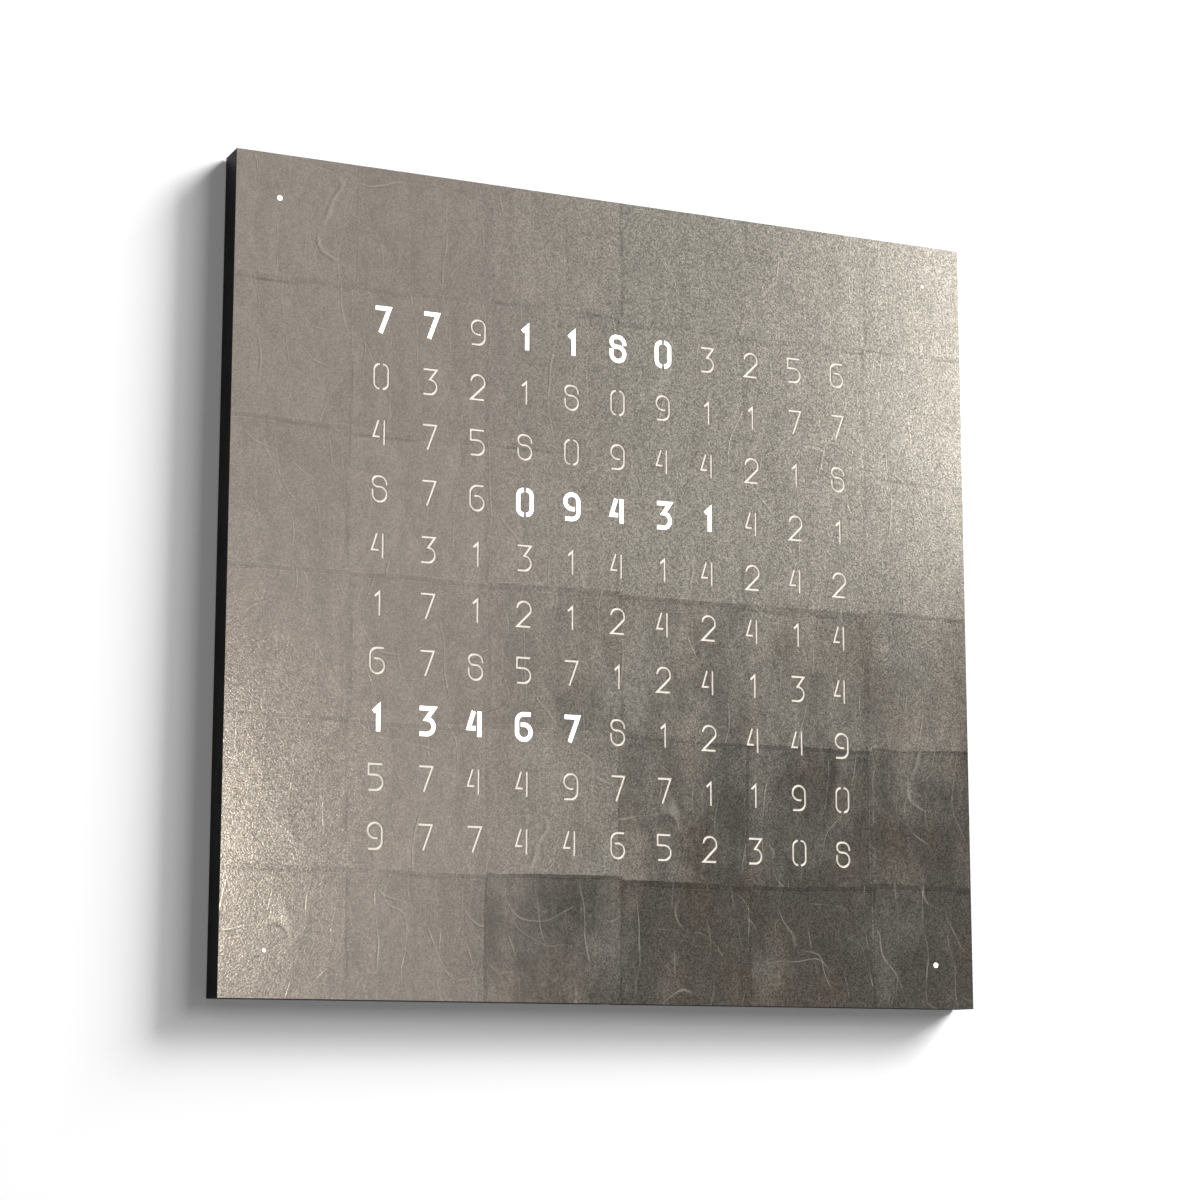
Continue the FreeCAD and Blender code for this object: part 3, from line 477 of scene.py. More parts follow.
def soft_block(shape, low, high, radius, material_index=0):
    """Block between two corners with its edges rounded by a radius."""
    low, high = Vector(low), Vector(high)
    corners = [shape.verts.new((x, y, z)) for x in (low.x, high.x) for y in (low.y, high.y)
               for z in (low.z, high.z)]
    faces = [shape.faces.new([corners[number] for number in side]) for side in (
        (0, 1, 3, 2), (4, 6, 7, 5), (0, 4, 5, 1), (2, 3, 7, 6), (0, 2, 6, 4), (1, 5, 7, 3))]
    edges = list({edge for face in faces for edge in face.edges})
    made = bmesh.ops.bevel(shape, geom=edges, offset=radius, segments=2, affect="EDGES")
    for face in {face for vert in made["verts"] for face in vert.link_faces}:
        face.material_index = material_index


fine_round, chip_round = 0.00003, 0.00008


def on_board(shape, x, z, half_x, half_z, top, foot=0, radius=fine_round, material_index=0):
    """Block round (x, z) between two heights above the front of the board."""
    soft_block(shape, (x - half_x, board_front - top, z - half_z),
               (x + half_x, board_front - foot, z + half_z), radius, material_index)


def leg(shape, x, z, side, height, reach, foot):
    """Gull-wing leg that leaves a chip's side at z, turns down and ends in a foot."""
    half_width, thickness, step = 0.0002, 0.0002, 0.00001
    # Each part is a step wider than the last, so that no two edges lie on one line.
    on_board(shape, x, z + side * reach / 2, half_width, reach / 2, height, height - thickness)
    on_board(shape, x, z + side * reach, half_width + step, thickness / 2 + step, height + step)
    on_board(shape, x, z + side * (reach + foot / 2 - thickness / 2), half_width + 2 * step, foot / 2,
             thickness, step)


# Hot tin on copper is a bright, cool grey, a little dull where the flux has dried.
flux_width = 0.000556
tin, tree, shader, place = material("copper_leg_hot_tinned", Metallic=1.0)
flux = add(tree, "ShaderNodeTexNoise", {"Vector": place, "Scale": 1 / flux_width, "Detail": 3.0}).outputs[0]
tone = add(tree, "ShaderNodeMix", {0: flux, 6: linear("#a9a8a2"), 7: linear("#d2d1cb")},
           data_type="RGBA").outputs[2]
sheen = add(tree, "ShaderNodeMapRange", {0: flux, 1: 0.3, 2: 0.7, 3: 0.22, 4: 0.4}).outputs[0]
wire(tree, shader, Base_Color=tone, Roughness=sheen)

# Chip parts are 2.4 x 1.2 mm and 0.9 mm high. Their ends stand a little proud of the brown body.
ceramic = moulded("chip_part_sintered_brown", "#4c4033", "#6b5a45", 0.5, 0.0002)
body_half, end_half, end_centre, half_width, chip_height = 0.0007, 0.00026, 0.00095, 0.0006, 0.0009
side_proud, top_proud = 0.00004, 0.00005
chip_parts = bmesh.new()
places = [(0.1815, -0.0345), (0.1815, -0.0305), (0.1815, -0.0265), (0.1955, -0.0345), (0.1955, -0.0305),
          (0.1955, -0.0265), (0.1765, -0.0875), (0.1765, -0.0835), (0.1765, -0.0955), (0.1975, -0.0955),
          (0.1765, -0.0755), (0.1765, -0.0785), (0.1985, -0.0745), (0.1985, -0.0785)]
for x, z in places:
    on_board(chip_parts, x, z, body_half, half_width, chip_height, 0, chip_round)
    for end in (-1, 1):
        on_board(chip_parts, x + end * end_centre, z, end_half, half_width + side_proud,
                 chip_height + top_proud, 0, chip_round, 1)
piece("chip_resistors_and_capacitors", chip_parts, "housing", "chip_resin", ceramic, tin)

# Two lamp drivers of 10 x 4.2 mm with eight legs a side, and the clock chip's seven legs a side. A
# leg is its height where it leaves the chip, its reach and the length of its foot.
leg_pitch, driver_leg, clock_leg = 0.00127, (0.0009, 0.0005, 0.0006), (0.0014, 0.0006, 0.0008)
driver_x, driver_places, driver_half_x, driver_half_z = 0.1885, (-0.0225, -0.0165), 0.005, 0.0021
driver_top, driver_foot, driver_round, driver_legs, clock_legs = 0.0018, 0.0002, 0.0002, 8, 7
drivers = bmesh.new()
chip_legs = bmesh.new()
for z in driver_places:
    on_board(drivers, driver_x, z, driver_half_x, driver_half_z, driver_top, driver_foot, driver_round)
    for number in range(driver_legs):
        for side in (-1, 1):
            leg(chip_legs, driver_x + (number - (driver_legs - 1) / 2) * leg_pitch,
                z + side * driver_half_z, side, *driver_leg)
clock_low, clock_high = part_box("clock_chip")
clock_x = (clock_low.x + clock_high.x) / 2
for number in range(clock_legs):
    for z, side in ((clock_low.z, -1), (clock_high.z, 1)):
        leg(chip_legs, clock_x + (number - (clock_legs - 1) / 2) * leg_pitch, z, side, *clock_leg)
# Chips are moulded in epoxy, which the mould's fine grit leaves a dull black.
epoxy = moulded("chip_epoxy_moulded_black", "#1b1b1d", "#29292b", 0.6, 0.00025)
dress(epoxy, "clock_chip")
piece("driver_chips", drivers, "housing", "chip_resin", epoxy)
piece("chip_legs", chip_legs, "housing", "crystal_can", tin)


# Radio module. A thin daughter board with tinned pads along its sides, a drawn tinplate can soldered
# over the chips, and a track antenna that is folded up and down at its upper end.

module = bmesh.new()
low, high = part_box("microcontroller_module")
board_thickness, board_round, can_inset, can_round, antenna_room = 0.0008, 0.00006, 0.001, 0.0005, 0.0075
board_top = high.y - board_thickness
soft_block(module, (low.x, board_top, low.z), (high.x, high.y, high.z), board_round, 0)
soft_block(module, (low.x + can_inset, low.y, low.z + can_inset),
           (high.x - can_inset, board_top, high.z - antenna_room), can_round, 1)
pads, pad_start, pad_half, pad_height, pad_rise = 14, 0.0015, 0.0004, 0.00006, 0.00002
for number in range(pads):
    z = low.z + pad_start + number * leg_pitch
    for x in (low.x, high.x):
        soft_block(module, (x - pad_half * (x == high.x), board_top - pad_height, z - pad_half),
                   (x + pad_half * (x == low.x), high.y - pad_rise, z + pad_half), fine_round, 2)
# The antenna's cross tracks start a hair inside the upright ones, so that no edges meet.
uprights, turn_pitch, track_width, track_start, hair = 6, 0.0024, 0.0004, 0.003, 0.00002
track_front, track_back = board_top - 0.00004, board_top + 0.0001
track_low, track_high = high.z - 0.006, high.z - 0.001
for number in range(uprights):
    x = low.x + track_start + number * turn_pitch
    soft_block(module, (x, track_front, track_low), (x + track_width, track_back, track_high),
               fine_round, 3)
    if number < uprights - 1:
        z = track_low if number % 2 else track_high - track_width
        soft_block(module, (x + hair, track_front - hair / 2, z + hair),
                   (x + turn_pitch + track_width - hair, track_back + hair / 2, z + track_width - hair),
                   fine_round, 3)
black_mask = solder_mask("module_glass_epoxy_black_solder_mask", "#121214", "#1e1e22", 0.0005)
# Drawn tinplate is a soft grey, dulled in patches by fingers. The gold flash reads as warm yellow.
smear_width, flash_width = 0.00286, 0.00111
can, tree, shader, place = material("shield_tinplate_drawn", Metallic=1.0)
smear = add(tree, "ShaderNodeTexNoise",
            {"Vector": place, "Scale": 1 / smear_width, "Detail": 4.0}).outputs[0]
tone = add(tree, "ShaderNodeMix", {0: smear, 6: linear("#a8a7a0"), 7: linear("#c8c7c1")},
           data_type="RGBA").outputs[2]
sheen = add(tree, "ShaderNodeMapRange", {0: smear, 1: 0.3, 2: 0.7, 3: 0.25, 4: 0.45}).outputs[0]
relief = add(tree, "ShaderNodeBump", {"Strength": 0.15, "Distance": 0.0001, "Height": smear}).outputs[0]
wire(tree, shader, Base_Color=tone, Roughness=sheen, Normal=relief)
gold, tree, shader, place = material("track_copper_gold_flashed", Metallic=1.0)
flash = add(tree, "ShaderNodeTexNoise",
            {"Vector": place, "Scale": 1 / flash_width, "Detail": 3.0}).outputs[0]
tone = add(tree, "ShaderNodeMix", {0: flash, 6: linear("#b18a3c"), 7: linear("#d3ae5c")},
           data_type="RGBA").outputs[2]
sheen = add(tree, "ShaderNodeMapRange", {0: flash, 1: 0.3, 2: 0.7, 3: 0.25, 4: 0.4}).outputs[0]
wire(tree, shader, Base_Color=tone, Roughness=sheen)
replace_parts(piece("radio_module", module, "housing", "shield_can", black_mask, can, tin, gold),
            "microcontroller_module")


# Crystal, inductor and coin cell. A drawn and lapped steel can, a pressed ferrite block, and a
# nickel plated cell under the spring clip of its black holder.

# Lapping leaves straight lines 0.25 mm apart along the can.
line_width, arris = 0.00025, 0.0004
lapped, tree, shader, place = material("crystal_can_steel_lapped", Metallic=1.0)
lap_place = add(tree, "ShaderNodeVectorMath", {0: place, 1: (0.05, 1, 1)}, operation="MULTIPLY").outputs[0]
lines = add(tree, "ShaderNodeTexNoise",
            {"Vector": lap_place, "Scale": 1 / line_width, "Detail": 2.0}).outputs[0]
soft = worn_edges(tree, arris)[0]
tone = add(tree, "ShaderNodeMix", {0: lines, 6: linear("#bdbcb6"), 7: linear("#d9d8d3")},
           data_type="RGBA").outputs[2]
sheen = add(tree, "ShaderNodeMapRange", {0: lines, 1: 0.3, 2: 0.7, 3: 0.2, 4: 0.34}).outputs[0]
wire(tree, shader, Base_Color=tone, Roughness=sheen, Normal=soft)
dress(lapped, "quartz_crystal")
dress(moulded("inductor_ferrite_pressed", "#3a3a3d", "#4c4c4f", 0.62, 0.0003), "power_inductor")
dress(black_abs, "coin_cell_holder", "light_sensor")

# The cell is bright nickel, with turned lines 0.3 mm apart round its axis and a rolled rim.
turned_width, rim_start, rim_end = 0.000303, 0.0088, 0.0092
cell_low, cell_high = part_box("coin_cell")
axis = (cell_low + cell_high) / 2
cell_steel, tree, shader, place = material("coin_cell_steel_nickel_plated", Metallic=1.0)
out = add(tree, "ShaderNodeVectorMath", {0: place, 1: (axis.x, 0, axis.z)}, operation="SUBTRACT").outputs[0]
out = add(tree, "ShaderNodeVectorMath", {0: out, 1: (1, 0, 1)}, operation="MULTIPLY").outputs[0]
out = add(tree, "ShaderNodeVectorMath", {0: out}, operation="LENGTH").outputs["Value"]
turned = add(tree, "ShaderNodeTexNoise", {"W": out, "Scale": 1 / turned_width, "Detail": 1.0},
             noise_dimensions="1D").outputs[0]
rim = add(tree, "ShaderNodeMapRange", {0: out, 1: rim_start, 2: rim_end, 3: 0.0, 4: 1.0}).outputs[0]
tone = add(tree, "ShaderNodeMix", {0: turned, 6: linear("#b2aea4"), 7: linear("#d3cfc6")},
           data_type="RGBA").outputs[2]
sheen = add(tree, "ShaderNodeMapRange", {0: turned, 1: 0.3, 2: 0.7, 3: 0.18, 4: 0.32}).outputs[0]
relief = add(tree, "ShaderNodeBump", {"Strength": 0.5, "Distance": 0.0002, "Height": rim}).outputs[0]
wire(tree, shader, Base_Color=tone, Roughness=sheen, Normal=relief)
dress(cell_steel, "coin_cell")

# The contact is a strip over the holder with a crease that presses on the middle of the cell.
strip_thickness, strip_half_width, strip_inset, crease_half, air = 0.0003, 0.0025, 0.0004, 0.002, 0.0001
contact = bmesh.new()
holder_low, holder_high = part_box("coin_cell_holder")
crease_start, crease_end = axis.x - crease_half, axis.x + crease_half
under = [(holder_low.x + strip_inset, holder_low.y), (crease_start, holder_low.y), (axis.x, cell_low.y),
         (crease_end, holder_low.y), (holder_high.x - strip_inset, holder_low.y)]
bar(contact, [(x, y - air) for x, y in under] + [(x, y - air - strip_thickness) for x, y in under[::-1]],
    axis.z - strip_half_width, axis.z + strip_half_width)
piece("cell_contact_spring", contact, "housing", "cell_steel", lapped)


# Switches and buttons. Three side-pressed switches on the board's edge, and above each plunger a
# moulded button that runs in a dished guide let into the right rail.

dress(epoxy, "switch_bodies")
plunger_plastic = moulded("plunger_moulded_natural", "#b9b2a2", "#d1cabb", 0.45, 0.0003)
dress(plunger_plastic, "plunger_minus", "plunger_set", "plunger_plus")
dress(black_abs, "button_guide")
dress(clear_rod, "sensor_lens")
# The caps are polished more than the case, and their marks are a second shot of pale plastic.
satin_black = moulded("abs_moulded_black_satin", "#131314", "#202022", 0.36, 0.0003,
                      Specular_IOR_Level=0.35)
pale_mark = moulded("mark_moulded_pale_grey", "#b9b8b2", "#d0cfca", 0.5, 0.0002)
flange_reach, flange_thickness, flange_round, cap_round = 0.0012, 0.001, 0.00015, 0.0006
mark_proud, mark_depth, mark_round = 0.00015, 0.0003, 0.00008
long_arm, short_arm, dot_arm = 0.0011, 0.0002, 0.0005
marks = {"minus": [(long_arm, short_arm)], "set": [(dot_arm, dot_arm)],
         "plus": [(long_arm, short_arm), (short_arm, long_arm)]}
for name, arms in marks.items():
    low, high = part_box("button_" + name)
    middle = (low + high) / 2
    button = bmesh.new()
    soft_block(button, low, (low.x + flange_thickness, high.y, high.z), flange_round)
    soft_block(button, (low.x + flange_thickness - 0.0002, low.y + flange_reach, low.z + flange_reach),
               (high.x - mark_proud, high.y - flange_reach, high.z - flange_reach), cap_round)
    for half_y, half_z in arms:
        soft_block(button, (high.x - mark_depth, middle.y - half_y, middle.z - half_z),
                   (high.x, middle.y + half_y, middle.z + half_z), mark_round, 1)
    made = piece("pressed_button_" + name, button, name + "_button", "button_plastic",
                 satin_black, pale_mark)
    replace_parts(made, "button_" + name)


# Leads. Flat twin leads in extruded black PVC, one from the inlet to the control board and one to
# each dot's board. The extruder leaves them dull, with a bloom of softener in patches.

bloom_width, skin_width, arris = 0.00625, 0.000455, 0.0006
jacket, tree, shader, place = material("pvc_extruded_black", Specular_IOR_Level=0.4)
bloom = add(tree, "ShaderNodeTexNoise",
            {"Vector": place, "Scale": 1 / bloom_width, "Detail": 4.0}).outputs[0]
fine = add(tree, "ShaderNodeTexNoise", {"Vector": place, "Scale": 1 / skin_width, "Detail": 2.0}).outputs[0]
tone = add(tree, "ShaderNodeMix", {0: bloom, 6: linear("#1d1d1f"), 7: linear("#323234")},
           data_type="RGBA").outputs[2]
soft = worn_edges(tree, arris)[0]
sheen = add(tree, "ShaderNodeMapRange", {0: bloom, 1: 0.3, 2: 0.7, 3: 0.4, 4: 0.58}).outputs[0]
relief = add(tree, "ShaderNodeBump", {"Strength": 0.2, "Distance": 0.00005, "Height": fine,
                                      "Normal": soft}).outputs[0]
wire(tree, shader, Base_Color=tone, Roughness=sheen, Normal=relief)
dress(jacket, "dot_leads", "feed_lead")


# Cover. A 1.5 mm steel sheet laid with squares of white metal leaf, rubbed, toned and varnished. The
# strokes of the stencil digits are laser-cut right through it, as are four dots near its corners. The
# leaf is burnished over the edge of each cut, which leaves the strokes finer than the laser cut them.

plate_low, plate_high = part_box("front_plate")
cover_front, cover_back, half_side = plate_low.y, plate_high.y, plate_high.x
cut_width, lip, film_room = 0.0016, 0.00018, 0.00002
stroke = cut_width - 2 * lip
dot_diameter, dot_sides = 0.0024, 24
# A cell takes its digit from this string, at a place that a formula works out.
digits = "7214075143968"


def digit_lines():
    """Centre lines of the digits 0 to 9 in mm. A third value rounds its corner with that radius."""
    right, top = 4.0, 6.9
    left, bottom = -right, -top
    waist, gap, stem, foot = 1.232, 2.2, 2.2, -2.31
    six = [(right, top), (left, top, 4), (left, bottom, 4), (right, bottom, 4), (right, waist, 4),
           (left + gap, waist)]
    return [
        [[(0.7, top), (right, top, 3.3), (right, bottom, 3.3), (0.7, bottom)],
         [(-0.7, top), (left, top, 3.3), (left, bottom, 3.3), (-0.7, bottom)]],
        [[(left / 2, top / 2), (right / 5, top - 0.8), (right / 5, bottom)]],
        [[(left, top - 3.84), (left, top, 3.8), (right, top, 4), (right, waist, 1.6), (left, bottom),
          (right, bottom)]],
        [[(left, top), (right, top), (0, waist), (right, waist, 4), (right, bottom, 4), (left, bottom)]],
        [[(stem - 3.3, top), (left, foot), (stem - gap, foot)], [(stem, top), (stem, bottom)]],
        [[(right, top), (left, top), (left, waist), (right, waist, 4), (right, bottom, 4), (left, bottom)]],
        [six],
        [[(left, top), (right, top), (left / 4, bottom)]],
        [[(right, waist + 1), (right, top, 4), (left, top, 2.8), (left, waist, 2.8), (right, waist, 4),
          (right, bottom, 4), (left, bottom, 4), (left, waist - 1.4)]],
        [[(-x, -z, *radius) for x, z, *radius in six]],
    ]


def rounded(line):
    """Centre line with its marked corners turned into arcs of eight steps."""
    arc_steps = 8
    points = []
    for index, (x, z, *radius) in enumerate(line):
        here = Vector((x, z))
        if not radius:
            points.append(here)
            continue
        back = (Vector(line[index - 1][:2]) - here).normalized()
        onward = (Vector(line[index + 1][:2]) - here).normalized()
        half = back.angle(onward) / 2
        reach = radius[0] / math.tan(half)
        centre = here + (back + onward).normalized() * (radius[0] / math.sin(half))
        start, end = here + back * reach - centre, here + onward * reach - centre
        swing = start.angle_signed(end)
        points += [centre + Matrix.Rotation(-swing * step / arc_steps, 2) @ start
                   for step in range(arc_steps + 1)]
    return points


def stroke_outline(points, width):
    """Outline of a stroke round its centre line, with mitred corners and square ends."""
    points = [p for p, q in zip(points, points[1:] + [None]) if q is None or (p - q).length > 1e-4]
    runs = [(b - a).normalized() for a, b in zip(points, points[1:])]
    sides = ([], [])
    for point, before, after in zip(points, runs[:1] + runs, runs + runs[-1:]):
        middle = (before + after).normalized()
        across = Vector((-middle.y, middle.x)) * (width / 2 / max(0.3, middle.dot(before)))
        sides[0].append(point + across)
        sides[1].append(point - across)
    return sides[0] + sides[1][::-1]


def cell_centre(column, row):
    """Centre of a cell as (x, z), with column 0 on the left and row 0 on top."""
    return Vector(((column - (columns - 1) / 2) * column_pitch, ((rows - 1) / 2 - row) * row_pitch))


def cell_strokes(column, row, width):
    """Outlines in metres of the strokes of one cell's digit."""
    digit = int(digits[(5 * column + 4 * row + row * column // 3) % len(digits)])
    centre = cell_centre(column, row)
    return [[centre + point / 1000 for point in stroke_outline(rounded(line), width * 1000)]
            for line in digit_lines()[digit]]


def rectangle(centre, half_x, half_z):
    """Outline of (x, z) points round a centre."""
    return [Vector((centre.x + a * half_x, centre.y + b * half_z))
            for a, b in ((-1, -1), (1, -1), (1, 1), (-1, 1))]


def slab(shape, outlines, y0, y1):
    """Solid between y0 and y1 with an outline and the holes that follow it."""
    faces = filled(shape, outlines, y0)
    grown = bmesh.ops.extrude_face_region(shape, geom=faces, use_keep_orig=True)["geom"]
    corners = [part for part in grown if isinstance(part, bmesh.types.BMVert)]
    bmesh.ops.translate(shape, vec=(0, y1 - y0, 0), verts=corners)


# Which of the four dots are lit: keys are the sides (x, z) that a dot stands on.
dot_lit = {(-1, 1): True, (1, 1): False, (-1, -1): False, (1, -1): True}
cuts = [outline for row in range(rows) for column in range(columns)
        for outline in cell_strokes(column, row, stroke)]
cuts += [ring(sx * dot_place, sz * dot_place, dot_diameter, dot_sides) for sx, sz in dot_lit]
sheet = bmesh.new()
slab(sheet, [rectangle(Vector((0, 0)), half_side, half_side)] + cuts, cover_front + film_room, cover_back)
sheet.normal_update()
on_leaf, on_rim, on_back, in_cut = range(4)
for face in sheet.faces:
    middle = face.calc_center_median()
    if abs(face.normal.y) < 0.5:
        at_rim = max(abs(middle.x), abs(middle.z)) > half_side - 1e-5
        face.material_index = on_rim if at_rim else in_cut
    else:
        face.material_index = on_back if middle.y > (cover_front + cover_back) / 2 else on_leaf

# White metal leaf: squares of 80 mm laid 79 mm apart, so that each laps the last by a millimetre
# or two. The eye gets a warm grey metal with a fine speckle, hair-thin creases, a slightly different
# tone on each leaf, and a darker wash towards the lower right, which is partly toning and partly a
# painted dark reflection.
leaf_wide, leaf_tall, leaves_to_middle = 0.0792, 0.0788, 1.945
wander_width, wander_reach, tear_width, tear_reach = 0.0625, 0.005, 0.003125, 0.0008
cloud_width, speck_width, rub_width, tint_width, lift_width, grain_width = (
    0.026316, 0.00071429, 0.0043478, 0.038462, 0.03125, 0.0011765)
leaf, tree, shader, place = material("white_metal_leaf_laid_rubbed_and_toned", Metallic=1.0)
wander = add(tree, "ShaderNodeTexNoise",
             {"Vector": place, "Scale": 1 / wander_width, "Detail": 2.0}).outputs[1]
ragged = add(tree, "ShaderNodeTexNoise",
             {"Vector": place, "Scale": 1 / tear_width, "Detail": 3.0}).outputs[1]
laid = add(tree, "ShaderNodeVectorMath", {0: wander, 1: (wander_reach, 0, wander_reach), 2: place},
           operation="MULTIPLY_ADD").outputs[0]
laid = add(tree, "ShaderNodeVectorMath", {0: ragged, 1: (tear_reach, 0, tear_reach), 2: laid},
           operation="MULTIPLY_ADD").outputs[0]
even = add(tree, "ShaderNodeVectorMath", {0: laid, 1: (1 / leaf_wide, 0, 1 / leaf_tall),
                                          2: (leaves_to_middle, 0, leaves_to_middle)},
           operation="MULTIPLY_ADD").outputs[0]
row_and_column = add(tree, "ShaderNodeVectorMath", {0: even}, operation="FLOOR").outputs[0]
row_and_column = add(tree, "ShaderNodeSeparateXYZ", {0: row_and_column})
slip_x = add(tree, "ShaderNodeTexWhiteNoise", {"W": row_and_column.outputs[2]},
             noise_dimensions="1D").outputs[0]
slip_z = add(tree, "ShaderNodeTexWhiteNoise", {"W": row_and_column.outputs[0]},
             noise_dimensions="1D").outputs[0]
slip = add(tree, "ShaderNodeCombineXYZ", {0: slip_x, 2: slip_z}).outputs[0]
# Each row and column of leaves slips by up to 3 mm.
counted = add(tree, "ShaderNodeVectorMath", {0: slip, 1: (0.04, 0, 0.03), 2: even},
              operation="MULTIPLY_ADD").outputs[0]
number = add(tree, "ShaderNodeVectorMath", {0: counted}, operation="FLOOR").outputs[0]
chance = add(tree, "ShaderNodeTexWhiteNoise", {"Vector": number}, noise_dimensions="3D").outputs[0]
inside = add(tree, "ShaderNodeVectorMath", {0: counted}, operation="FRACTION").outputs[0]
inside = add(tree, "ShaderNodeSeparateXYZ", {0: inside}).outputs
# Laps are shares of a leaf: 2 to 5% along its upper edge and 1.6% along its left edge.
lap_width = add(tree, "ShaderNodeMapRange", {0: chance, 3: 0.98, 4: 0.95}).outputs[0]
lap_end = add(tree, "ShaderNodeMath", {0: inside[2], 1: lap_width}, operation="GREATER_THAN").outputs[0]
lap_side = add(tree, "ShaderNodeMath", {0: inside[0], 1: 0.016}, operation="LESS_THAN").outputs[0]
lap = add(tree, "ShaderNodeMath", {0: lap_side, 1: lap_end}, operation="MAXIMUM").outputs[0]


def pooled_wash_and_painted_reflection(position):
    """Share of the wash and painted dark reflection at a position, none at the top and left, all at the
    lower right, and how far to the right the position is."""
    wash_top, wash_bottom, wash_left, wash_right = 0.05, -0.15, -0.13, 0.03
    axes = add(tree, "ShaderNodeSeparateXYZ", {0: position}).outputs
    down = add(tree, "ShaderNodeMapRange", {0: axes[2], 1: wash_top, 2: wash_bottom, 3: 0.0, 4: 1.0},
               interpolation_type="SMOOTHSTEP").outputs[0]
    right = add(tree, "ShaderNodeMapRange", {0: axes[0], 1: wash_left, 2: wash_right, 3: 0.0, 4: 1.0},
                interpolation_type="SMOOTHSTEP").outputs[0]
    return add(tree, "ShaderNodeMath", {0: down, 1: right}, operation="MULTIPLY").outputs[0], right


# The wash and painted dark reflection is read half at the point and half at the middle of its leaf,
# so that it steps from leaf to leaf. In every second row it starts 60 mm further to the left.
row_start, first_leaf = 0.06, -0.116
row = add(tree, "ShaderNodeSeparateXYZ", {0: number}).outputs[2]
odd_row = add(tree, "ShaderNodeMath", {0: row, 1: 1.0}, operation="PINGPONG").outputs[0]
started = add(tree, "ShaderNodeVectorMath", {0: odd_row, 1: (row_start, 0, 0), 2: (-row_start, 0, 0)},
              operation="MULTIPLY_ADD").outputs[0]
leaf_centre = add(tree, "ShaderNodeVectorMath", {0: number, 1: (leaf_wide, 0, leaf_tall),
                                                 2: (first_leaf, 0, first_leaf)},
                  operation="MULTIPLY_ADD").outputs[0]
rightward = pooled_wash_and_painted_reflection(place)[1]
place_in_row = add(tree, "ShaderNodeVectorMath", {0: place, 1: started}).outputs[0]
leaf_in_row = add(tree, "ShaderNodeVectorMath", {0: leaf_centre, 1: started}).outputs[0]
wash_and_painted_reflection = add(tree, "ShaderNodeMix", {0: 0.55, 2: pooled_wash_and_painted_reflection(place_in_row)[0],
                                   3: pooled_wash_and_painted_reflection(leaf_in_row)[0]}).outputs[0]
upright = add(tree, "ShaderNodeVectorMath", {0: laid, 1: (1, 1, 0.5)}, operation="MULTIPLY").outputs[0]
clouds = add(tree, "ShaderNodeTexNoise", {"Vector": upright, "Scale": 1 / cloud_width, "Detail": 8.0,
                                          "Roughness": 0.7}).outputs[0]
clouds = add(tree, "ShaderNodeMapRange", {0: clouds, 1: 0.38, 2: 0.62, 3: -0.75, 4: 0.3}).outputs[0]
across = add(tree, "ShaderNodeMath", {0: inside[0], 1: 0.5, 2: clouds}, operation="MULTIPLY_ADD").outputs[0]
uneven = add(tree, "ShaderNodeMath", {0: chance, 1: 0.3, 2: -0.15}, operation="MULTIPLY_ADD").outputs[0]
uneven = add(tree, "ShaderNodeMath", {0: across, 1: uneven}, operation="ADD").outputs[0]
spread = add(tree, "ShaderNodeMath", {0: wash_and_painted_reflection, 1: -1.1, 2: 1.5}, operation="MULTIPLY_ADD").outputs[0]
spread = add(tree, "ShaderNodeMath", {0: wash_and_painted_reflection, 1: spread}, operation="MULTIPLY").outputs[0]
toned_and_painted_dark = add(tree, "ShaderNodeMath", {0: uneven, 1: spread, 2: wash_and_painted_reflection}, operation="MULTIPLY_ADD",
            use_clamp=True).outputs[0]
metal = add(tree, "ShaderNodeMix", {0: rightward, 6: linear("#8f867e"), 7: linear("#8d887f")},
            data_type="RGBA").outputs[2]
# Towards the lower right the metal darkens, partly by toning and partly by a painted dark reflection.
metal = add(tree, "ShaderNodeMix", {0: toned_and_painted_dark, 6: metal, 7: linear("#54514b")}, data_type="RGBA").outputs[2]

# Speckle of 0.7 mm, partly the leaf's own grain and partly painted sparkle, strongest on the right
# and at the lower left, where the highlights fall.
glint_x, glint_z, glint_outer, glint_inner = -0.23, -0.12, 0.12, 0.02
specks = add(tree, "ShaderNodeTexVoronoi", {"Vector": place, "Scale": 1 / speck_width}).outputs["Color"]
specks = add(tree, "ShaderNodeMapRange", {0: specks, 1: 0.2, 2: 0.8, 3: -1.0, 4: 1.0},
             clamp=False).outputs[0]
lower_left_glint = add(tree, "ShaderNodeVectorMath", {0: place, 1: (glint_x, 0, glint_z)},
             operation="DISTANCE").outputs["Value"]
lower_left_glint = add(tree, "ShaderNodeMapRange", {0: lower_left_glint, 1: glint_outer, 2: glint_inner, 3: 0.0, 4: 0.7},
             interpolation_type="SMOOTHSTEP").outputs[0]
speckle_and_painted_sparkle = add(tree, "ShaderNodeMath", {0: rightward, 1: lower_left_glint}, operation="MAXIMUM").outputs[0]
coarse = add(tree, "ShaderNodeMath", {0: speckle_and_painted_sparkle, 1: 0.2, 2: 0.12}, operation="MULTIPLY_ADD").outputs[0]
specked = add(tree, "ShaderNodeMath", {0: specks, 1: coarse, 2: 1.0}, operation="MULTIPLY_ADD").outputs[0]
rubs = add(tree, "ShaderNodeTexNoise",
           {"Vector": upright, "Scale": 1 / rub_width, "Detail": 5.0}).outputs[0]
rubbed = add(tree, "ShaderNodeMapRange", {0: rubs, 1: 0.3, 2: 0.7, 3: 0.94, 4: 1.06}).outputs[0]
leaf_tone = add(tree, "ShaderNodeMapRange", {0: chance, 3: 0.95, 4: 1.05}).outputs[0]
lap_tone = add(tree, "ShaderNodeMapRange", {0: wash_and_painted_reflection, 3: 0.93, 4: 0.8}).outputs[0]
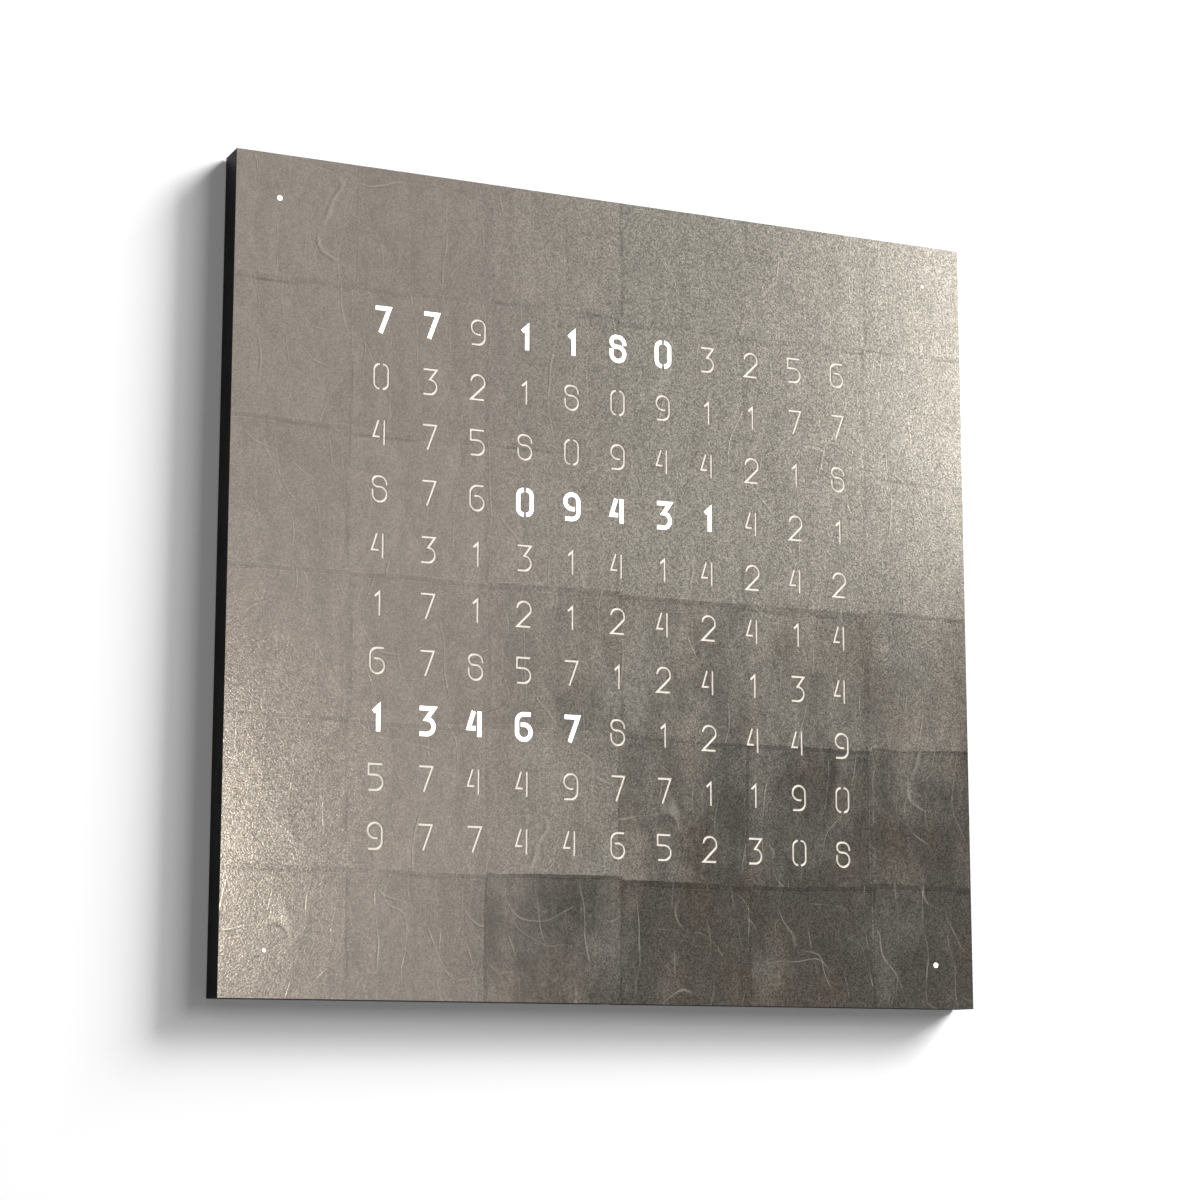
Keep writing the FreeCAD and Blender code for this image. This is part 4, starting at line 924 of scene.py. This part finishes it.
lapped = add(tree, "ShaderNodeMix", {0: lap, 2: 1.0, 3: lap_tone}).outputs[0]
last_row = add(tree, "ShaderNodeMath", {0: row, 1: -0.5}, operation="LESS_THAN").outputs[0]
# The bottom row of leaves is 6% darker.
bottom_row_darker = add(tree, "ShaderNodeMapRange", {0: last_row, 3: 1.0, 4: 0.94}).outputs[0]
for share in (specked, rubbed, leaf_tone, lapped, bottom_row_darker):
    metal = add(tree, "ShaderNodeVectorMath", {0: metal, "Scale": share}, operation="SCALE").outputs[0]

# Stains in the wash warm the metal: shares by which red, green and blue change.
unstained, stained = (1, 1, 1, 1), (1.09, 1.0, 0.95, 1)
tint = add(tree, "ShaderNodeTexNoise",
           {"Vector": upright, "Scale": 1 / tint_width, "Detail": 5.0}).outputs[0]
tint = add(tree, "ShaderNodeMapRange", {0: tint, 1: 0.45, 2: 0.6, 3: 0.0, 4: 1.0}).outputs[0]
tint = add(tree, "ShaderNodeMath", {0: tint, 1: wash_and_painted_reflection}, operation="MULTIPLY").outputs[0]
tint = add(tree, "ShaderNodeMix", {0: tint, 6: unstained, 7: stained}, data_type="RGBA").outputs[2]
metal = add(tree, "ShaderNodeVectorMath", {0: metal, 1: tint}, operation="MULTIPLY").outputs[0]

# A lap stands off the leaf below it in stretches, and shades a hair's width beside its edge. These
# widths are shares of a leaf too.
lifted = add(tree, "ShaderNodeTexNoise",
             {"Vector": place, "Scale": 1 / lift_width, "Detail": 2.0}).outputs[0]
lifted = add(tree, "ShaderNodeMapRange", {0: lifted, 1: 0.46, 2: 0.62, 3: 0.0, 4: 0.24}).outputs[0]
for share, edge in ((inside[0], 0.021), (inside[2], lap_width)):
    beside = add(tree, "ShaderNodeMath", {0: share, 1: edge}, operation="SUBTRACT").outputs[0]
    beside = add(tree, "ShaderNodeMath", {0: beside}, operation="ABSOLUTE").outputs[0]
    shade = add(tree, "ShaderNodeMapRange", {0: beside, 1: 0.013, 2: 0.004, 3: 0.0, 4: 1.0}).outputs[0]
    shade = add(tree, "ShaderNodeMath", {0: shade, 1: lifted}, operation="MULTIPLY").outputs[0]
    shade = add(tree, "ShaderNodeMath", {0: 1.0, 1: shade}, operation="SUBTRACT").outputs[0]
    metal = add(tree, "ShaderNodeVectorMath", {0: metal, "Scale": shade}, operation="SCALE").outputs[0]

# Creases are thin lines that curve down each leaf, with a painted highlight on the ridge and a painted
# shadow beside it, and painted shade that grades the leaf a little darker towards each fold. They are
# sharp only in patches, which are larger in the bottom row. Each leaf is creased its own way.
own = add(tree, "ShaderNodeTexWhiteNoise", {"Vector": number}, noise_dimensions="3D").outputs[1]
own = add(tree, "ShaderNodeVectorMath", {0: own, 1: (0.4, 0, 0.4), 2: place},
          operation="MULTIPLY_ADD").outputs[0]
# The painted highlight on the ridge lies 0.5 mm from the line of the fold, and its painted shadow 1.2 mm.
ridge_highlight_place, shadow_place, ridge_foot, ridge_top = 0.0005, 0.0012, 0.0005, 0.0001
raised = 0.0
for direction, scale, distortion, patch_width in (("X", 17.0, 7.0, 0.022222),
                                                  ("DIAGONAL", 9.0, 9.0, 0.02),
                                                  ("X", 9.0, 12.0, 0.026316)):
    line = add(tree, "ShaderNodeTexWave", {"Vector": own, "Scale": scale, "Distortion": distortion,
                                           "Detail": 2.0, "Detail Scale": 13.0 / scale,
                                           "Detail Roughness": 0.4},
               bands_direction=direction, wave_profile="SAW").outputs[1]
    per_metre = 20 * scale / (2 * math.pi)
    patch = add(tree, "ShaderNodeTexNoise",
                {"Vector": own, "Scale": 1 / patch_width, "Detail": 2.0}).outputs[0]
    patch = add(tree, "ShaderNodeMath", {0: last_row, 1: 0.03, 2: patch},
                operation="MULTIPLY_ADD").outputs[0]
    patch = add(tree, "ShaderNodeMapRange", {0: patch, 1: 0.5, 2: 0.7, 3: 0.0, 4: 0.4}).outputs[0]
    fold_shade = add(tree, "ShaderNodeMapRange", {0: line, 3: 0.97, 4: 1.03}).outputs[0]
    metal = add(tree, "ShaderNodeVectorMath", {0: metal, "Scale": fold_shade}, operation="SCALE").outputs[0]
    for from_fold, tone in ((ridge_highlight_place, "#b9b2a6"), (shadow_place, "#4a4742")):
        crease_light_and_shade = add(tree, "ShaderNodeMath", {0: line, 1: 1 - from_fold * per_metre},
                    operation="SUBTRACT").outputs[0]
        crease_light_and_shade = add(tree, "ShaderNodeMath", {0: crease_light_and_shade}, operation="ABSOLUTE").outputs[0]
        crease_light_and_shade = add(tree, "ShaderNodeMapRange", {0: crease_light_and_shade, 1: ridge_foot * per_metre,
                                                 2: ridge_top * per_metre, 3: 0.0, 4: 1.0}).outputs[0]
        crease_light_and_shade = add(tree, "ShaderNodeMath", {0: crease_light_and_shade, 1: patch}, operation="MULTIPLY").outputs[0]
        metal = add(tree, "ShaderNodeMix", {0: crease_light_and_shade, 6: metal, 7: linear(tone)},
                    data_type="RGBA").outputs[2]
        if from_fold == ridge_highlight_place:
            raised = add(tree, "ShaderNodeMath", {0: crease_light_and_shade, 1: raised}, operation="MAXIMUM").outputs[0]

# The leaf takes up the tooth of the primer below it, and its rubs, creases and laps stand in relief.
grain = add(tree, "ShaderNodeTexNoise",
            {"Vector": place, "Scale": 1 / grain_width, "Detail": 2.0}).outputs[0]
height = add(tree, "ShaderNodeMath", {0: rubs, 1: 0.25, 2: grain}, operation="MULTIPLY_ADD").outputs[0]
height = add(tree, "ShaderNodeMath", {0: raised, 1: 0.8, 2: height}, operation="MULTIPLY_ADD").outputs[0]
height = add(tree, "ShaderNodeMath", {0: lap, 1: 1.6, 2: height}, operation="MULTIPLY_ADD").outputs[0]
relief = add(tree, "ShaderNodeBump", {"Strength": 0.3, "Distance": 0.0002, "Height": height}).outputs[0]
sheen = add(tree, "ShaderNodeMapRange", {0: grain, 1: 0.3, 2: 0.7, 3: 0.15, 4: 0.24}).outputs[0]
wire(tree, shader, Base_Color=metal, Roughness=sheen, Normal=relief)

# The sheet's outer edge is brushed with black paint, so that it reads with the case.
stroke_mark_width = 0.00333
edge_paint, tree, shader, place = material("steel_edge_brushed_black", Specular_IOR_Level=0.12)
brushed = add(tree, "ShaderNodeTexNoise", {"Vector": place, "Scale": 1 / stroke_mark_width,
                                           "Detail": 3.0}).outputs[0]
tone = add(tree, "ShaderNodeMix", {0: brushed, 6: linear("#070707"), 7: linear("#121211")},
           data_type="RGBA").outputs[2]
sheen = add(tree, "ShaderNodeMapRange", {0: brushed, 1: 0.3, 2: 0.7, 3: 0.45, 4: 0.6}).outputs[0]
wire(tree, shader, Base_Color=tone, Roughness=sheen)

# The back is bare mill steel, with rolling lines 0.7 mm apart and a film of oil that dulls it in
# patches.
roll_width, oil_width = 0.000667, 0.0833
mill_steel, tree, shader, place = material("steel_sheet_cold_rolled", Metallic=1.0)
roll_place = add(tree, "ShaderNodeVectorMath", {0: place, 1: (0.02, 1, 1)}, operation="MULTIPLY").outputs[0]
rolled = add(tree, "ShaderNodeTexNoise", {"Vector": roll_place, "Scale": 1 / roll_width,
                                          "Detail": 3.0}).outputs[0]
oil = add(tree, "ShaderNodeTexNoise", {"Vector": place, "Scale": 1 / oil_width, "Detail": 4.0}).outputs[0]
tone = add(tree, "ShaderNodeMix", {0: rolled, 6: linear("#84847f"), 7: linear("#a9a9a4")},
           data_type="RGBA").outputs[2]
sheen = add(tree, "ShaderNodeMapRange", {0: oil, 1: 0.3, 2: 0.7, 3: 0.3, 4: 0.45}).outputs[0]
relief = add(tree, "ShaderNodeBump", {"Strength": 0.2, "Distance": 0.00005, "Height": rolled}).outputs[0]
wire(tree, shader, Base_Color=tone, Roughness=sheen, Normal=relief)

# The laser leaves a dark brown scale on the walls of the cuts, in flutes that run through the sheet.
flute_width = 0.00025
burnt, tree, shader, place = material("steel_laser_cut_scale", Metallic=1.0)
flute_place = add(tree, "ShaderNodeVectorMath", {0: place, 1: (1, 0.05, 1)},
                  operation="MULTIPLY").outputs[0]
flutes = add(tree, "ShaderNodeTexNoise", {"Vector": flute_place, "Scale": 1 / flute_width,
                                          "Detail": 2.0}).outputs[0]
tone = add(tree, "ShaderNodeMix", {0: flutes, 6: linear("#2c2824"), 7: linear("#5d554c")},
           data_type="RGBA").outputs[2]
sheen = add(tree, "ShaderNodeMapRange", {0: flutes, 1: 0.3, 2: 0.7, 3: 0.35, 4: 0.55}).outputs[0]
relief = add(tree, "ShaderNodeBump", {"Strength": 0.3, "Distance": 0.00005, "Height": flutes}).outputs[0]
wire(tree, shader, Base_Color=tone, Roughness=sheen, Normal=relief)
cover = piece("leafed_cover", sheet, "front_cover", "leafed_steel", leaf, edge_paint, mill_steel, burnt)
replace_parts(cover, "front_plate")
dress(mill_steel, "locating_tabs")


# Fills of the cuts. Resin poured into each stroke and dot from behind, so that it ends 0.3 mm below
# the leaf. In the strokes it is opal, a creamy white when the lamp behind it is off, with a little
# light from its neighbours.

fill_sink, bubble_width = 0.0003, 0.00143
in_strokes, in_dots = range(2)
fills = bmesh.new()
for outline in cuts:
    slab(fills, [outline], cover_front + fill_sink, cover_back)
for face in fills.faces:
    at_dot = abs(face.calc_center_median().z) > dot_place - dot_diameter
    face.material_index = in_dots if at_dot else in_strokes
opal_resin, tree, shader, place = material("opal_resin_poured", Specular_IOR_Level=0.4,
                                           Emission_Strength=0.12)
bubbles = add(tree, "ShaderNodeTexNoise",
              {"Vector": place, "Scale": 1 / bubble_width, "Detail": 3.0}).outputs[0]
tone = add(tree, "ShaderNodeMix", {0: bubbles, 6: linear("#e4dacd"), 7: linear("#f4ece0")},
           data_type="RGBA").outputs[2]
sheen = add(tree, "ShaderNodeMapRange", {0: bubbles, 1: 0.3, 2: 0.7, 3: 0.4, 4: 0.55}).outputs[0]
wire(tree, shader, Base_Color=tone, Emission_Color=tone, Roughness=sheen)
# The dots are clear, and their light pipes carry a little stray light to them.
clear_resin, tree, shader, place = material("clear_resin_poured", Roughness=0.25, Emission_Strength=0.4)
bubbles = add(tree, "ShaderNodeTexNoise",
              {"Vector": place, "Scale": 1 / bubble_width, "Detail": 3.0}).outputs[0]
tone = add(tree, "ShaderNodeMix", {0: bubbles, 6: linear("#e9e7e2"), 7: linear("#faf9f6")},
           data_type="RGBA").outputs[2]
wire(tree, shader, Base_Color=tone, Emission_Color=tone)
piece("opal_fills", fills, "front_cover", "opal_acrylic", opal_resin, clear_resin)


# Lit characters. Where a lamp is on, the resin and the leaf at its edges dazzle, so the stroke looks
# almost twice as wide. A film of 0.01 mm, just clear of the leaf, stands for that light.

lit_columns = {0: (0, 1, 3, 4, 5, 6), 3: range(3, 8), 7: range(5)}
lit_cells = [(column, row) for row, lit in lit_columns.items() for column in lit]
dazzle_stroke, dazzle_dot, dazzle_sides, lamp_spread = 0.0024, 0.003, 32, 0.00333
film_back = cover_front + film_room / 2
dazzle = bmesh.new()
for cell in lit_cells:
    for outline in cell_strokes(*cell, dazzle_stroke):
        slab(dazzle, [outline], cover_front, film_back)
for (sx, sz), lit in dot_lit.items():
    if lit:
        round_film = ring(sx * dot_place, sz * dot_place, dazzle_dot, dazzle_sides)
        slab(dazzle, [round_film], cover_front, film_back)
lit_resin, tree, shader, place = material("opal_resin_lit_by_white_lamp", Emission_Strength=1.1)
spread = add(tree, "ShaderNodeTexNoise", {"Vector": place, "Scale": 1 / lamp_spread}).outputs[0]
tone = add(tree, "ShaderNodeMix", {0: spread, 6: linear("#fdfbf6"), 7: linear("#ffffff")},
           data_type="RGBA").outputs[2]
wire(tree, shader, Base_Color=tone, Emission_Color=tone)
piece("lit_characters", dazzle, "front_cover", "opal_acrylic", lit_resin)


# Lit chambers. Behind each lit character the opal sheet glows over its lamp and fades to the walls
# of the chamber. A film just clear of the sheet's matt face shows it when the cover is off.

wall_half, glow_core, glow_reach = 0.0008, 0.003, 0.019
field_half = (columns * column_pitch / 2, 0, rows * row_pitch / 2)
sheet_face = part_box("diffuser_sheet")[0].y
chambers = bmesh.new()
for cell in lit_cells:
    window = rectangle(cell_centre(*cell), column_pitch / 2 - wall_half, row_pitch / 2 - wall_half)
    slab(chambers, [window], sheet_face - film_room, sheet_face - film_room / 2)
lit_sheet, tree, shader, place = material("acrylic_sheet_opal_lit_from_behind", Roughness=0.6)
steps = add(tree, "ShaderNodeVectorMath", {0: place, 1: field_half}, operation="ADD").outputs[0]
steps = add(tree, "ShaderNodeVectorMath", {0: steps, 1: (column_pitch, 1, row_pitch)},
            operation="MODULO").outputs[0]
steps = add(tree, "ShaderNodeVectorMath", {0: steps, 1: (1, 0, 1)}, operation="MULTIPLY").outputs[0]
off = add(tree, "ShaderNodeVectorMath", {0: steps, 1: (column_pitch / 2, 0, row_pitch / 2)},
          operation="DISTANCE").outputs["Value"]
glow = add(tree, "ShaderNodeMapRange", {0: off, 1: glow_core, 2: glow_reach, 3: 1.3, 4: 0.25},
           interpolation_type="SMOOTHSTEP").outputs[0]
tone = add(tree, "ShaderNodeMix", {0: glow, 6: linear("#f2ecdd"), 7: linear("#ffffff")},
           data_type="RGBA").outputs[2]
wire(tree, shader, Base_Color=tone, Emission_Color=tone, Emission_Strength=glow)
piece("lit_chambers", chambers, "housing", "opal_acrylic", lit_sheet)


# Wall and floor. A smooth wall painted white, open behind the clock so that light reaches its back,
# and a pale floor far below. The wall can't be seen from behind.

stage_reach, opening, wall_y, floor_z = 6, half_side - 0.0005, 0.0002, -1.5
near_clock, far_from_clock = 0.6, 1.6


def painted(name, points, faces, glow, far_glow):
    """Flat white face of the stage, clear from behind, that glows by one strength near the clock and
    another far from it, so that its end isn't seen."""
    mesh = bpy.data.meshes.new(name)
    mesh.from_pydata(points, [], faces)
    made = bpy.data.objects.new(name, mesh)
    bpy.context.scene.collection.objects.link(made)
    paint = bpy.data.materials.new(name + "_emulsion_rolled_white")
    paint.use_nodes = True
    tree = paint.node_tree
    tree.nodes.clear()
    rays = add(tree, "ShaderNodeLightPath").outputs
    behind = add(tree, "ShaderNodeNewGeometry").outputs["Backfacing"]
    white = add(tree, "ShaderNodeBsdfDiffuse", {"Color": linear("#f3f3f3")}).outputs[0]
    place = add(tree, "ShaderNodeNewGeometry").outputs["Position"]
    away = add(tree, "ShaderNodeVectorMath", {0: place}, operation="LENGTH").outputs["Value"]
    level = add(tree, "ShaderNodeMapRange", {0: away, 1: near_clock, 2: far_from_clock, 3: glow,
                                             4: far_glow}).outputs[0]
    shine = add(tree, "ShaderNodeEmission", {"Color": linear("#ffffff"), "Strength": level}).outputs[0]
    front = add(tree, "ShaderNodeAddShader", {0: white, 1: shine}).outputs[0]
    clear = add(tree, "ShaderNodeBsdfTransparent").outputs[0]
    seen = add(tree, "ShaderNodeMath", {0: rays["Is Camera Ray"], 1: rays["Is Glossy Ray"]},
               operation="ADD", use_clamp=True).outputs[0]
    seen = add(tree, "ShaderNodeMath", {0: seen, 1: behind}, operation="SUBTRACT",
               use_clamp=True).outputs[0]
    surface = add(tree, "ShaderNodeMixShader", {0: seen, 1: clear, 2: front}).outputs[0]
    add(tree, "ShaderNodeOutputMaterial", {"Surface": surface})
    mesh.materials.append(paint)


middle = Vector((0, 0))
wall_points = [(point.x, wall_y, point.y) for reach in (stage_reach, opening)
               for point in rectangle(middle, reach, reach)]
wall_faces = [(side, (side + 1) % 4, (side + 1) % 4 + 4, side + 4) for side in range(4)]
painted("wall", wall_points, wall_faces, 0.1, 1.0)
floor_points = [(point.x, point.y, floor_z) for point in rectangle(middle, stage_reach, stage_reach)]
painted("floor", floor_points, [(0, 1, 2, 3)], 0.5, 0.5)


# Light. An even white studio with a large soft key lamp at the upper right, whose shadow falls to the
# left and below, a weak fill lamp in front and one behind the wall, and two white panels that the leaf
# mirrors at its upper right and lower left. Lamps are in metres and watts.

world = bpy.data.worlds.new("studio")
bpy.context.scene.world = world
world.use_nodes = True
world.cycles.sampling_method = "NONE"
tree = world.node_tree
tree.nodes.clear()
rays = add(tree, "ShaderNodeLightPath").outputs
seen = add(tree, "ShaderNodeMath", {0: rays["Is Camera Ray"], 1: rays["Is Glossy Ray"]}, operation="ADD",
           use_clamp=True).outputs[0]
seen = add(tree, "ShaderNodeMath", {0: seen, 1: rays["Is Transmission Ray"]}, operation="ADD",
           use_clamp=True).outputs[0]
level = add(tree, "ShaderNodeMapRange", {0: seen, 3: 0.14, 4: 1.0}).outputs[0]
sky = add(tree, "ShaderNodeBackground", {"Color": linear("#ffffff"), "Strength": level}).outputs[0]
add(tree, "ShaderNodeOutputWorld", {"Surface": sky})


def lamp(name, place, aim, width, height, power):
    """Rectangular lamp at a place, turned towards another, that the camera doesn't see."""
    light = bpy.data.lights.new(name, "AREA")
    light.shape = "RECTANGLE"
    light.size, light.size_y, light.energy = width, height, power
    made = bpy.data.objects.new(name, light)
    made.location = place
    made.rotation_mode = "QUATERNION"
    made.rotation_quaternion = (Vector(aim) - Vector(place)).to_track_quat("-Z", "Y")
    made.visible_camera = False
    bpy.context.scene.collection.objects.link(made)
    return made


lamp("soft_key", (8.8, -4.7, 6.9), (0, 0, 0), 4.6, 5.5, 2500).visible_glossy = False
lamp("soft_fill", (5.0, -8.2, 3.0), (0, 0, 0), 3.8, 4.1, 260).visible_glossy = False
lamp("soft_back", (2.6, 5.0, 3.5), (0, 0, 0), 3.0, 2.5, 360)
lamp("panel_upper_right", (2.33, -1.6, 1.46), (2.33, 0, 1.46), 2.3, 2.1, 50)
lower_left = lamp("panel_lower_left", (-0.12, -1.6, -0.02), (-0.12, 0, -0.02), 0.6, 0.15, 4.4)
lower_left.data.color = (0.98, 1.0, 0.93)
lower_left.visible_diffuse = False


# Camera. A long lens, 1.6 m from the clock, to its left and a little below it, about 25 degrees off
# its axis, looking up and to the right.

camera = bpy.data.objects.new("camera", bpy.data.cameras.new("camera"))
bpy.context.scene.collection.objects.link(camera)
bpy.context.scene.camera = camera
camera.data.sensor_width, camera.data.lens = 36, 85.36
camera.data.clip_start, camera.data.clip_end = 0.05, 60
look, up = Vector((0.41491, 0.89355, 0.17148)), Vector((-0.0727, -0.1553, 0.9852))
side = look.cross(up).normalized()
camera.matrix_world = Matrix((side, side.cross(look), -look)).transposed().to_4x4()
camera.location = (-0.6624, -1.4228, -0.2737)
bpy.context.scene.view_settings.view_transform = "Standard"
